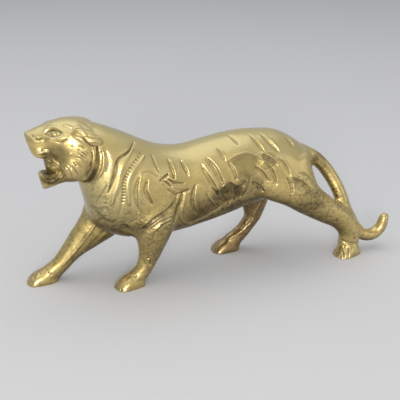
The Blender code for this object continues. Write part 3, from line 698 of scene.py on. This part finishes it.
def addPaw(bm, heelX, track, side, turn):
    paw = bmesh.new()
    length, width, height = paws["length"], paws["width"], paws["height"]
    low = -paws["below"] * height
    sections = [(-a * length, h * height, -a * length, low, w, 0) for a, h, w in paws["profile"]]
    addLoft(paw, sections, width / 2, lambda offset: 0.0, fullness=paws["fullness"])
    for k in range(paws["toes"]):
        across = (k - (paws["toes"] - 1) / 2) * width / paws["toes"]
        r = paws["toeRadius"]
        reach = length - r * paws["toeSetback"] - paws["toeCurve"] * across**2
        addBall(paw, (-reach, across, r * paws["toeLift"]), [r * share for share in paws["toeShape"]])
    place = Matrix.Translation(Vector((heelX, side * legs[track] / 2, 0)) * mm)
    paw.transform(place @ Matrix.Rotation(math.radians(-side * turn), 4, "Z"))
    addPiece(bm, paw)


def addHead(bm):
    skull = bmesh.new()
    for name in ("skull", "lowerJaw", "mouthWall"):
        fullness = head["skullFullness" if name == "skull" else "jawFullness"]
        addLoft(skull, head[name], head["halfWidth"], lambda y: y, fullness=fullness)
    ear = head["ear"]
    for side in (-1, 1):
        for x, y, z, *radii in head["masses"]:
            addBall(skull, (x, side * y, z), radii)
        addBall(
            skull,
            (ear["x"], side * (head["halfWidth"] - ear["inset"]), ear["z"]),
            (ear["length"] / 2, ear["thickness"] / 2, ear["height"] / 2),
            pitch=ear["pitch"],
            turn=side * ear["splay"],
        )
    skull.transform(headTurn())
    addPiece(bm, skull)


def addTail(bm):
    curve = bpy.data.curves.new("tailLine", "CURVE")
    curve.dimensions = "3D"
    curve.bevel_depth = tail["diameter"] / 2 * mm
    curve.bevel_resolution = 5
    curve.use_fill_caps = True
    points = splinePoints(tail["line"], curveSteps)
    line = curve.splines.new("POLY")
    line.points.add(len(points) - 1)
    for point, (x, z, y, share) in zip(line.points, points):
        point.co = (x * mm, y * mm, z * mm, 1.0)
        point.radius = share
    rod = newObject("tailLine", curve)
    graph = bpy.context.evaluated_depsgraph_get()
    mesh = bpy.data.meshes.new_from_object(rod.evaluated_get(graph))
    bpy.data.objects.remove(rod)
    bpy.data.curves.remove(curve)
    bm.from_mesh(mesh)
    bmesh.ops.remove_doubles(bm, verts=bm.verts[-len(mesh.vertices) :], dist=0.001 * mm)
    bpy.data.meshes.remove(mesh)
    x, z, y, _ = tail["line"][-1]
    tip = tail["tipDiameter"] / 2
    addBall(bm, (x, y, z), (tip, tip, tip * tail["tipStretch"]), pitch=tail["tipPitch"])


def modelCasting():
    body = modelBody()
    bm = bmesh.new()
    bm.from_mesh(body.data)
    bpy.data.objects.remove(body)
    addHead(bm)
    addTail(bm)
    casting = objectFrom(bm, "tigerCasting")
    fuse(casting, surface["castVoxel"], surface["castEasing"])
    fuse(casting, surface["carvedVoxel"], surface["carvedEasing"])
    return casting


def meshArrays(mesh):
    count = len(mesh.vertices)
    places, normals = np.empty(count * 3), np.empty(count * 3)
    mesh.vertices.foreach_get("co", places)
    mesh.vertices.foreach_get("normal", normals)
    return places.reshape(-1, 3), normals.reshape(-1, 3)


def paint(mesh, name, values):  # stores an amount for every point, for the material
    layer = mesh.attributes.new(name, "FLOAT", "POINT")
    layer.data.foreach_set("value", values.astype(np.float32))


def smoothStep(low, high, value):
    t = np.clip((value - low) / (high - low), 0, 1)
    return t * t * (3 - 2 * t)


class Line:  # a bent line in the side view, with the places near it
    def __init__(self, points):
        self.points = splinePoints(points, lineSteps)
        self.steps = np.diff(self.points, axis=0)
        self.lengths = np.hypot(self.steps[:, 0], self.steps[:, 1])
        self.starts = np.concatenate([[0], np.cumsum(self.lengths)])

    def near(self, places, reach):  # which places are in reach, how far off, how far along and on which side
        low, high = self.points.min(0) - reach, self.points.max(0) + reach
        picked = np.nonzero(((places > low) & (places < high)).all(1))[0]
        here = places[picked]
        best = np.full(len(here), 1e9)
        along, side = np.zeros(len(here)), np.ones(len(here))
        for i, step in enumerate(self.steps):
            rest = here - self.points[i]
            t = np.clip((rest @ step) / self.lengths[i] ** 2, 0, 1)
            away = np.hypot(*(rest - t[:, None] * step).T)
            closer = away < best
            best = np.where(closer, away, best)
            along = np.where(closer, self.starts[i] + t * self.lengths[i], along)
            across = rest @ (-step[1], step[0])
            side = np.where(closer, np.sign(across), side)
        return picked, best, along / self.starts[-1], side

    def at(self, place):  # the point this far along the line, with its direction
        i = min(max(int(np.searchsorted(self.starts, place)) - 1, 0), len(self.steps) - 1)
        direction = self.steps[i] / self.lengths[i]
        return self.points[i] + direction * (place - self.starts[i]), direction


def taper(share):  # full in the middle of a line and nothing at its ends
    return np.sin(np.pi * np.clip(share, 0.0, 1.0)) ** 0.6


def endFade(share):
    return smoothStep(*carving["endFade"], share) * smoothStep(*carving["endFade"], 1 - share)


def darken(grime, picked, amount):
    grime[picked] = np.maximum(grime[picked], amount)


def cutLeaf(push, grime, flank, sideView, row):
    points, width, depth, burr, rows = row
    leaf, mark = carving["leaf"], carving["tracer"]
    line = Line(points)
    picked, away, share, side = line.near(sideView, width)
    facing = flank[picked]
    half = width / 2 * (leaf["narrowest"] + (1 - leaf["narrowest"]) * taper(share))
    across = side * away / half
    floor = smoothStep(*leaf["slope"], across) * (1 - smoothStep(*leaf["backWall"], across))
    ends = endFade(share)
    inside = (share > 0) & (share < 1)
    push[picked] -= depth * floor * ends * facing
    lip = np.exp(-(((side * away - half - leaf["burrPlace"]) / leaf["burrWidth"]) ** 2)) * ends * inside
    push[picked] += burr * lip * smoothStep(*leaf["burrStart"], share) * facing
    darken(grime, picked, leaf["grime"] * floor * ends * facing)
    for n, offset in enumerate(mark["rows"][rows]):
        place = mark["start"] + 0.5 * n * mark["pitch"]
        while place < line.starts[-1] - mark["stop"]:
            centre, direction = line.at(place)
            centre = centre + offset * np.array((-direction[1], direction[0]))
            spot = np.exp(-((sideView[picked] - centre) ** 2).sum(1) / mark["radius"] ** 2)
            push[picked] -= mark["depth"] * spot * facing
            darken(grime, picked, mark["grime"] * spot * facing)
            place += mark["pitch"]


def cutTicks(push, grime, flank, sideView, points, pitch):
    gutter, mark = carving["gutter"], carving["tick"]
    line = Line(points)
    picked, away, share, _ = line.near(sideView, gutter["reach"])
    facing = flank[picked]
    bowl = (1 - smoothStep(0, gutter["halfWidth"], away)) * taper(share)
    push[picked] -= gutter["depth"] * bowl * facing
    darken(grime, picked, gutter["grime"] * bowl * facing)
    place = mark["start"]
    while place < line.starts[-1] * mark["end"]:
        centre, direction = line.at(place)
        rest = sideView[picked] - centre
        crosswise = rest @ np.array((-direction[1], direction[0])) - mark["offset"]
        lengthwise = rest @ direction
        spot = np.exp(-((crosswise / mark["halfLength"]) ** 4) - (lengthwise / mark["halfWidth"]) ** 2)
        push[picked] -= mark["depth"] * spot * facing
        darken(grime, picked, mark["grime"] * spot * facing)
        place += pitch


def cutStep(push, grime, flank, sideView, row):
    points, rise, riseReach, sink, sinkReach = row
    step = carving["step"]
    picked, away, share, side = Line(points).near(sideView, max(riseReach, sinkReach))
    fade = endFade(share)
    inside = (share > 0) & (share < 1)
    riseFade = 1 - smoothStep(riseReach * step["riseFlat"], riseReach, away)
    sinkFade = 1 - smoothStep(sinkReach * step["sinkFlat"], sinkReach, away)
    above = (side > 0) * rise * smoothStep(*step["riseEdge"], away) * riseFade
    below = (side <= 0) * sink * smoothStep(*step["sinkEdge"], away) * sinkFade
    push[picked] += (above - below) * fade * inside * flank[picked]
    dark = below / sink * fade * inside * flank[picked]
    darken(grime, picked, step["grime"] * min(1.0, sink) * dark)


def cutLines(push, grime, flank, sideView, lines, sign):
    narrowest = carving["narrowest"]
    for points, width, height in lines:
        picked, away, share, _ = Line(points).near(sideView, width)
        half = width * carving["spread"] * (narrowest + (1 - narrowest) * taper(share))
        rest = np.clip(1 - away / half, 0, 1)
        bowl = rest * rest * (3 - 2 * rest) * flank[picked]
        push[picked] += sign * height * bowl
        if sign < 0:
            darken(grime, picked, bowl * min(carving["cutGrime"], height))


def cutEye(push, grime, flank, sideView):
    eye = carving["eye"]
    angle, lineWidth = math.radians(eye["pitch"]), eye["lineWidth"]
    rest = sideView - (eye["x"], eye["z"])
    u = (rest[:, 0] * math.cos(angle) + rest[:, 1] * math.sin(angle)) / eye["halfLength"]
    v = (-rest[:, 0] * math.sin(angle) + rest[:, 1] * math.cos(angle)) / eye["halfHeight"]
    lid = np.clip(1 - u**2, 0, 1)
    inside = (np.abs(u) < 1) * smoothStep(*eye["bowlEdge"], lid - np.abs(v))
    rim = np.exp(-(((np.abs(v) - lid) / lineWidth) ** 2)) * (np.abs(u) < eye["rimEnd"])
    away = np.hypot(rest[:, 0], rest[:, 1])
    ring = np.exp(-(((away - eye["iris"]) / lineWidth) ** 2))
    bowl = eye["depth"] * (eye["bowlDepth"] + eye["ringDepth"] * ring)
    push += (eye["irisRise"] * (away < eye["iris"]) - bowl) * inside * flank
    push -= eye["rimDepth"] * eye["depth"] * rim * flank
    rimGrime = rim * (eye["rimGrime"][0] + eye["rimGrime"][1] * (v > 0))
    bowlGrime = inside * (eye["bowlGrime"][0] * ring + eye["bowlGrime"][1])
    grime[:] = np.maximum(grime, (rimGrime + bowlGrime) * flank)
    upper = np.exp(-(((np.abs(v) - lid - eye["lidPlace"]) / lineWidth) ** 2)) * (v > 0) * lid
    push += eye["lidRise"] * upper * flank


def cutToes(places, grime):
    toes = carving["toes"]
    depth = np.zeros(len(places))
    low = 1 - smoothStep(*toes["heights"], places[:, 2])
    length, width, count = paws["length"], paws["width"], paws["toes"]
    for heelX, track, side, turn in paws["places"]:
        angle = math.radians(side * turn)
        away = places[:, :2] - (heelX, side * legs[track] / 2)
        along = -(away[:, 0] * math.cos(angle) - away[:, 1] * math.sin(angle)) / length
        across = away[:, 0] * math.sin(angle) + away[:, 1] * math.cos(angle)
        onToes = smoothStep(*toes["start"], along) * (along < toes["end"]) * low
        for k in range(1, count):
            middle = (k - count / 2) * width / count
            depth = np.maximum(depth, onToes * np.exp(-(((across - middle) / toes["halfWidth"]) ** 2)))
    grime[:] = np.maximum(grime, toes["grime"] * depth)
    return toes["depth"] * depth


def scoopHollows(places, normals):
    for centre, radii, opening in head["hollows"]:
        centre = np.array(headTurn() @ (Vector(centre) * mm))
        radii = np.array(radii) * mm
        rest = (places - centre) / radii
        inward = -normals / radii
        a = (inward**2).sum(1)
        b = (rest * inward).sum(1)
        c = (rest**2).sum(1) - 1
        inside = (c < 0) & (normals @ np.array(opening) > 0.3)
        step = np.where(inside, (-b + np.sqrt(np.maximum(b * b - a * c, 0))) / a, 0)
        places += normals * -np.minimum(step, head["scoopLimit"] * mm)[:, None]


def carve(casting):
    mesh = casting.data
    places, normals = meshArrays(mesh)
    outward = np.sign(places[:, 1]) * normals[:, 1]
    turned, reach = carving["flank"]
    flank = np.clip((outward - turned) / reach, 0, 1)
    sideView = places[:, [0, 2]] / mm
    # the inner faces of the two far legs are carved too, because the camera sees them
    farLeg = (places[:, 1] > 0) * (1 - smoothStep(*legs["innerCarvingFade"], sideView[:, 1]))
    flank = np.maximum(flank, farLeg * np.clip((-outward - turned) / reach, 0, 1))
    push = np.zeros(len(places))
    grime = np.zeros(len(places))
    for row in carving["steps"]:
        cutStep(push, grime, flank, sideView, row)
    for name, sign in (("ridges", 1), ("faceRidges", 1), ("cuts", -1), ("faceCuts", -1)):
        cutLines(push, grime, flank, sideView, carving[name], sign)
    for row in carving["leaves"]:
        cutLeaf(push, grime, flank, sideView, row)
    for points, pitch in carving["ticks"]:
        cutTicks(push, grime, flank, sideView, points, pitch)
    cutEye(push, grime, flank, sideView)
    push = np.clip(push, -carving["deepest"], carving["highest"])
    push -= cutToes(places / mm, grime)
    push += mouldSkin(places / mm, sideView, grime)
    push += castingPits(places, grime)
    places += normals * (push * mm)[:, None]
    scoopHollows(places, normals)
    mesh.vertices.foreach_set("co", places.ravel())
    mesh.update()
    paint(mesh, "grime", grime)


def patchAmount(x, z, patches, edge):  # how far each place lies inside the patches
    amount = np.zeros(len(x))
    for centreX, centreZ, reachX, reachZ, strength in patches:
        away = ((x - centreX) / reachX) ** 2 + ((z - centreZ) / reachZ) ** 2
        amount = np.maximum(amount, strength * np.clip(edge - away, 0, 1))
    return amount


def mouldSkin(places, sideView, grime):  # lumpy all over, grainy in the rough zones
    wide, narrow = surface["waveSizes"]
    wave = np.empty(len(places))
    for i, p in enumerate(places):
        wave[i] = noise.noise(Vector(p) / wide) + surface["smallWave"] * noise.noise(Vector(p) / narrow)
    top, reach, least = surface["waveFade"]
    out = surface["waviness"] * wave * np.clip((top - places[:, 2]) / reach, least, 1.0)
    rough = patchAmount(sideView[:, 0], sideView[:, 1], roughZones, surface["zoneEdge"])
    fineSize, largeSize = surface["grainSizes"]
    cap, gain = surface["grainTop"]
    slope, most = surface["grainGrime"]
    for i in np.nonzero(rough > 0.02)[0]:
        p = Vector(places[i])
        grain = noise.noise(p / fineSize) + surface["largeGrain"] * noise.noise(p / largeSize)
        grain = min(grain, cap) * gain
        out[i] += surface["roughness"] * rough[i] * grain
        grime[i] = max(grime[i], rough[i] * min(max(-grain * slope, 0.0), most))
    return out


def castingPits(places, grime):
    random = np.random.default_rng(surface["seed"])
    tree = KDTree(len(places))
    for i, p in enumerate(places):
        tree.insert(p, i)
    tree.balance()
    push = np.zeros(len(places))
    top, reach, least = surface["pitFade"]
    chances = np.clip((top * mm - places[:, 2]) / (reach * mm), least, 1.0)
    pits = []
    for i in random.choice(len(places), surface["pits"], replace=False, p=chances / chances.sum()):
        pits.append((places[i], random.uniform(*surface["pitRadius"]), random.uniform(*surface["pitDepth"])))
    for x, y, z, radius, depth in nicks:
        pits.append((tree.find(Vector((x, y, z)) * mm)[0], radius, depth))
    for centre, radius, depth in pits:
        radius *= mm
        for _, k, away in tree.find_range(centre, radius):
            bowl = 1 - (away / radius) ** 2
            push[k] = min(push[k], -depth * bowl)
            grime[k] = max(grime[k], surface["pitGrime"] * bowl)
    return push


def trimSoles(casting):
    bm = bmesh.new()
    bm.from_mesh(casting.data)
    everything = bm.verts[:] + bm.edges[:] + bm.faces[:]
    sole = (0, 0, surface["soleCut"] * mm)
    cut = bmesh.ops.bisect_plane(bm, geom=everything, plane_co=sole, plane_no=(0, 0, -1), clear_outer=True)
    edges = [e for e in cut["geom_cut"] if isinstance(e, bmesh.types.BMEdge)]
    bmesh.ops.holes_fill(bm, edges=edges, sides=0)
    bm.to_mesh(casting.data)
    bm.free()


def thinOut(casting):
    casting.data.calc_loop_triangles()
    count = len(casting.data.loop_triangles)
    if count <= surface["keptTriangles"]:
        return
    thin = casting.modifiers.new("thin", "DECIMATE")
    thin.ratio = surface["keptTriangles"] / count
    applyModifiers(casting)


def fitToFrame(casting):  # sits the fine skin exactly in the casting's box
    places, _ = meshArrays(casting.data)
    low, high = places.min(0), places.max(0)
    boxLow, boxHigh = (np.array(c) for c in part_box("tiger"))
    scale = (boxHigh - boxLow) / (high - low)
    print("fit to the frame, scale", np.round(scale, 4))
    places = boxLow + (places - low) * scale
    casting.data.vertices.foreach_set("co", places.ravel())
    casting.data.update()


casting = modelCasting()
print("casting fused,", len(casting.data.vertices), "points")
carve(casting)
print("stripes, face and toes carved")
thinOut(casting)
trimSoles(casting)
fitToFrame(casting)
casting.data.shade_smooth()
casting.data.calc_loop_triangles()
print("skin thinned and trimmed,", len(casting.data.loop_triangles), "triangles")


brass = {
    "polished": (0.72, 0.535, 0.19),
    "olive": (0.50, 0.395, 0.14),
    "film": (0.64, 0.55, 0.26),
    "brown": (0.085, 0.058, 0.025),
    "dirt": (0.016, 0.011, 0.006),
    "copper": (0.27, 0.15, 0.06),
    "worn": (0.80, 0.64, 0.36),
    "roughness": (0.29, 0.47),
    "waxWeight": 1.0,
    "waxRoughness": 0.09,
    # scale, detail and roughness of a noise, then where its patches start and are full
    "blotches": ((55, 5, 0.6), (0.35, 0.68)),
    "mottle": ((260, 4, 0.6), (0.38, 0.66)),
    "freckles": ((520, 5, 0.7), (0.5, 0.68)),
    "smear": (120, 5, 0.65),
    "grain": (1100, 3, 0.6),
    "scratch": (900, 2, 0.5),
    "scratchStretch": (0.12, 1, 1),
    # pointiness from full to none in hollows, and from none to full on crests
    "hollow": (0.44, 0.495),
    "crest": (0.505, 0.56),
    # how strongly each layer covers those before it
    "amounts": {
        "blotches": 0.7,
        "mottle": 0.4,
        "freckles": 0.55,
        "film": 0.75,
        "copper": 0.7,
        "grime": 0.9,
        "hollow": 0.85,
        "crest": 0.6,
        "stainOnCrest": 0.5,
        "dirtDulls": 0.35,
        "filmDulls": 0.12,
        "dirtCovers": 0.55,
        "stainBares": 0.9,
        "grain": 0.6,
        "scratch": 0.4,
    },
    # how much the mottle breaks up a layer, and what stays without it
    "stainAndShadeBreak": (0.25, 0.75),
    "dirtBreak": (0.45, 0.65),
    "bump": (0.4, 0.0004),
}


def agedBrass():
    material = bpy.data.materials.new("agedBrass")
    material.use_nodes = True
    tree = material.node_tree
    nodes, links = tree.nodes, tree.links
    shader = nodes["Principled BSDF"]

    def add(kind, **settings):
        node = nodes.new(kind)
        for key, value in settings.items():
            setattr(node, key, value)
        return node

    def ramp(source, stops):
        node = add("ShaderNodeValToRGB")
        elements = node.color_ramp.elements
        while len(elements) < len(stops):
            elements.new(0.5)
        for element, (place, value) in zip(elements, stops):
            element.position = place
            element.color = (value, value, value, 1)
        links.new(source, node.inputs["Fac"])
        return node.outputs["Color"]

    def mixColour(factor, a, b):
        node = add("ShaderNodeMix", data_type="RGBA")
        links.new(factor, node.inputs["Factor"])
        for socket, value in ((node.inputs[6], a), (node.inputs[7], b)):
            if isinstance(value, tuple):
                socket.default_value = (*value, 1)
            else:
                links.new(value, socket)
        return node.outputs[2]

    def combine(operation, a, b):
        node = add("ShaderNodeMath", operation=operation, use_clamp=True)
        for socket, value in zip(node.inputs, (a, b)):
            if isinstance(value, (int, float)):
                socket.default_value = value
            else:
                links.new(value, socket)
        return node.outputs[0]

    coordinates = add("ShaderNodeTexCoord").outputs["Object"]

    def noiseAt(scale, detail=4.0, rough=0.55, stretch=None):
        source = coordinates
        if stretch:
            mapping = add("ShaderNodeMapping")
            mapping.inputs["Scale"].default_value = stretch
            links.new(coordinates, mapping.inputs["Vector"])
            source = mapping.outputs[0]
        node = add("ShaderNodeTexNoise")
        node.inputs["Scale"].default_value = scale
        node.inputs["Detail"].default_value = detail
        node.inputs["Roughness"].default_value = rough
        links.new(source, node.inputs["Vector"])
        return node.outputs["Fac"]

    def times(a, b):
        return combine("MULTIPLY", a, b)

    def patches(name):
        kind, (start, full) = brass[name]
        return ramp(noiseAt(*kind), [(start, 0), (full, 1)])

    def broken(layer, name):
        change, rest = brass[name]
        return times(layer, combine("ADD", times(mottle, change), rest))

    pointiness = add("ShaderNodeNewGeometry").outputs["Pointiness"]
    grime, legShade, stainAndShade, film, aged = (
        add("ShaderNodeAttribute", attribute_name=name).outputs["Fac"]
        for name in ("grime", "legShade", "stainAndShade", "film", "aged")
    )
    blotches, mottle, freckles = (patches(name) for name in ("blotches", "mottle", "freckles"))
    (deep, flat), (even, sharp) = brass["hollow"], brass["crest"]
    hollow = ramp(pointiness, [(deep, 1), (flat, 0)])
    crest = ramp(pointiness, [(even, 0), (sharp, 1)])

    amount = brass["amounts"]
    colour = mixColour(times(blotches, amount["blotches"]), brass["polished"], brass["olive"])
    colour = mixColour(times(mottle, amount["mottle"]), colour, brass["olive"])
    colour = mixColour(times(times(freckles, amount["freckles"]), aged), colour, brass["brown"])
    colour = mixColour(times(film, amount["film"]), colour, brass["film"])
    # painted shade with a warm cast on the far hind leg
    colour = mixColour(times(legShade, amount["copper"]), colour, brass["copper"])
    # stain and painted shade, in brown, broken up by the mottle
    colour = mixColour(broken(stainAndShade, "stainAndShadeBreak"), colour, brass["brown"])
    recess = combine("MAXIMUM", times(grime, amount["grime"]), times(hollow, amount["hollow"]))
    recess = broken(recess, "dirtBreak")
    colour = mixColour(recess, colour, brass["dirt"])
    worn = times(crest, combine("SUBTRACT", amount["crest"], times(stainAndShade, amount["stainOnCrest"])))
    colour = mixColour(worn, colour, brass["worn"])
    links.new(colour, shader.inputs["Base Color"])

    roughness = add("ShaderNodeMapRange")
    links.new(noiseAt(*brass["smear"]), roughness.inputs["Value"])
    roughness.inputs["To Min"].default_value, roughness.inputs["To Max"].default_value = brass["roughness"]
    dull = combine("MAXIMUM", times(recess, amount["dirtDulls"]), times(film, amount["filmDulls"]))
    links.new(combine("ADD", roughness.outputs[0], dull), shader.inputs["Roughness"])
    links.new(combine("SUBTRACT", 1.0, times(recess, amount["dirtCovers"])), shader.inputs["Metallic"])

    # the wax coat is gone where stain, painted shade and dirt lie
    bare = combine("MAXIMUM", times(stainAndShade, amount["stainBares"]), recess)
    links.new(times(combine("SUBTRACT", 1.0, bare), brass["waxWeight"]), shader.inputs["Coat Weight"])
    shader.inputs["Coat Roughness"].default_value = brass["waxRoughness"]
    grain = times(noiseAt(*brass["grain"]), amount["grain"])
    scratch = times(noiseAt(*brass["scratch"], stretch=brass["scratchStretch"]), amount["scratch"])
    bump = add("ShaderNodeBump")
    bump.inputs["Strength"].default_value, bump.inputs["Distance"].default_value = brass["bump"]
    links.new(combine("ADD", grain, scratch), bump.inputs["Height"])
    links.new(bump.outputs[0], shader.inputs["Normal"])
    return material


# Where the layers lie. A pair gives where a layer ends and the reach over which it fades there.
zones = {
    "facingDown": (1.5, 0.15),  # slope and start
    "undersideTop": (80, 25),
    "undersideShade": 0.95,
    "lowFlankTop": (60, 12),
    "lowFlankBottom": (24, 8),
    "lowFlankFront": (-30, 12),
    "lowFlankBack": (38, 14),
    "lowFlankShade": 0.97,
    "stainAndShadeEdge": 1.3,
    "rimHighlight": 0.9,
    "farLegSide": (4, 5),
    "farLegTop": (46, 12),
    "farLegFront": (-10, 10),
    "filmSlope": (0.25, 0.5),
    "filmBottom": (55, 20),
    # centre x and z, reach, edge and strength
    "chestFilm": (-72, 60, 22, 1.2, 0.8),
    # height where freckles start, reach and least amount, then the same for the film that hides them
    "agedTop": (78, 40, 0.1),
    "agedUnderFilm": (1.2, 0.3),
}


def rising(values, pair):
    return np.clip((values - pair[0]) / pair[1], 0, 1)


def falling(values, pair):
    return np.clip((pair[0] - values) / pair[1], 0, 1)


def paintZones(mesh):  # painted shade and stain low down, painted shade with a warm cast on the far hind leg, film on top and on the chest
    places, normals = meshArrays(mesh)
    x, y, z = (places / mm).T
    # painted shade on faces that turn down and low on the flank, joined with the dark places, which are
    # partly stain
    slope, start = zones["facingDown"]
    down = np.clip(-normals[:, 2] * slope + start, 0, 1)
    underside = down * falling(z, zones["undersideTop"]) * zones["undersideShade"]
    lowFlank = falling(z, zones["lowFlankTop"]) * rising(z, zones["lowFlankBottom"])
    lowFlank *= rising(x, zones["lowFlankFront"])
    lowFlank *= falling(x, zones["lowFlankBack"])
    spots = patchAmount(x, z, stainAndShadePlaces, zones["stainAndShadeEdge"])
    stainAndShade = np.maximum(underside, np.maximum(zones["lowFlankShade"] * lowFlank, spots))
    # painted highlights: the dark layer is cleared along the rims
    for points, width in paintedHighlightRims:
        picked, away, share, _ = Line(points).near(places[:, [0, 2]] / mm, width)
        stainAndShade[picked] *= 1 - zones["rimHighlight"] * np.exp(-((2 * away / width) ** 2)) * taper(share)
    # painted shade with a warm cast on the far hind leg
    farLegShadeMask = rising(y, zones["farLegSide"]) * falling(z, zones["farLegTop"])
    farLegShadeMask = farLegShadeMask * rising(x, zones["farLegFront"])
    top = rising(normals[:, 2], zones["filmSlope"]) * rising(z, zones["filmBottom"])
    centreX, centreZ, reach, edge, strength = zones["chestFilm"]
    chest = np.clip(edge - ((x - centreX) / reach) ** 2 - ((z - centreZ) / reach) ** 2, 0, 1)
    film = np.maximum(top, strength * chest)
    height, reach, least = zones["agedTop"]
    most, leastUnderFilm = zones["agedUnderFilm"]
    aged = np.clip((height - z) / reach, least, 1) * np.clip(most - film, leastUnderFilm, 1)
    for name, values in (("stainAndShade", stainAndShade), ("legShade", farLegShadeMask), ("film", film), ("aged", aged)):
        paint(mesh, name, values)


paintZones(casting.data)
casting.data.materials.clear()
casting.data.materials.append(agedBrass())
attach(casting, "root")
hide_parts("tiger")
print("aged brass on")


studio = {
    "floorSize": 6.0,
    "floorColour": (0.66, 0.66, 0.67),
    "floorRoughness": 0.85,
    "worldColour": (0.45, 0.46, 0.475),
    "worldStrength": 1.0,
    "lampAim": (0, 0, 0.05),
    # name: place, size, power, colour
    "lamps": {
        "keySoftbox": ((-0.45, -1.10, 0.38), 0.34, 7.8, (1.0, 0.98, 0.95)),
        "topSoftbox": ((-0.15, 0.10, 1.1), 1.5, 6.5, (1.0, 0.99, 0.97)),
        "fillSoftbox": ((0.9, -0.8, 0.4), 0.8, 1.4, (1.0, 0.99, 0.97)),
    },
    "camera": {
        "yaw": 19.125,
        "elevation": 23.0,
        "distance": 0.485,
        "view": 30.0,
        "target": (-0.0039, 0.0183, 0.0376),
    },
}


def buildFloor():
    mesh = bpy.data.meshes.new("floor")
    half = studio["floorSize"] / 2
    corners = [(-half, -half, 0), (half, -half, 0), (half, half, 0), (-half, half, 0)]
    mesh.from_pydata(corners, [], [(0, 1, 2, 3)])
    floor = newObject("floor", mesh)
    material = bpy.data.materials.new("floorPaper")
    material.use_nodes = True
    shader = material.node_tree.nodes["Principled BSDF"]
    shader.inputs["Base Color"].default_value = (*studio["floorColour"], 1)
    shader.inputs["Roughness"].default_value = studio["floorRoughness"]
    mesh.materials.append(material)


def buildLight():
    world = bpy.data.worlds.new("studioAir")
    bpy.context.scene.world = world
    world.use_nodes = True
    background = world.node_tree.nodes["Background"]
    background.inputs["Color"].default_value = (*studio["worldColour"], 1)
    background.inputs["Strength"].default_value = studio["worldStrength"]
    for name, (place, size, power, colour) in studio["lamps"].items():
        lamp = bpy.data.lights.new(name, "AREA")
        lamp.size = size
        lamp.energy = power
        lamp.color = colour
        obj = newObject(name, lamp)
        obj.location = place
        obj.rotation_euler = (Vector(place) - Vector(studio["lampAim"])).to_track_quat("Z", "Y").to_euler()


def buildCamera():
    settings = studio["camera"]
    yaw, elevation = math.radians(settings["yaw"]), math.radians(settings["elevation"])
    level = math.cos(elevation)
    back = Vector((-math.sin(yaw) * level, -math.cos(yaw) * level, math.sin(elevation)))
    camera = bpy.data.cameras.new("photoCamera")
    camera.sensor_width = 36
    camera.lens = camera.sensor_width / 2 / math.tan(math.radians(settings["view"] / 2))
    camera.clip_start = 0.01
    obj = newObject("photoCamera", camera)
    obj.location = Vector(settings["target"]) + back * settings["distance"]
    obj.rotation_euler = back.to_track_quat("Z", "Y").to_euler()
    bpy.context.scene.camera = obj


buildFloor()
buildLight()
buildCamera()
bpy.context.scene.view_settings.view_transform = "Standard"
print("floor, lamps and camera set")
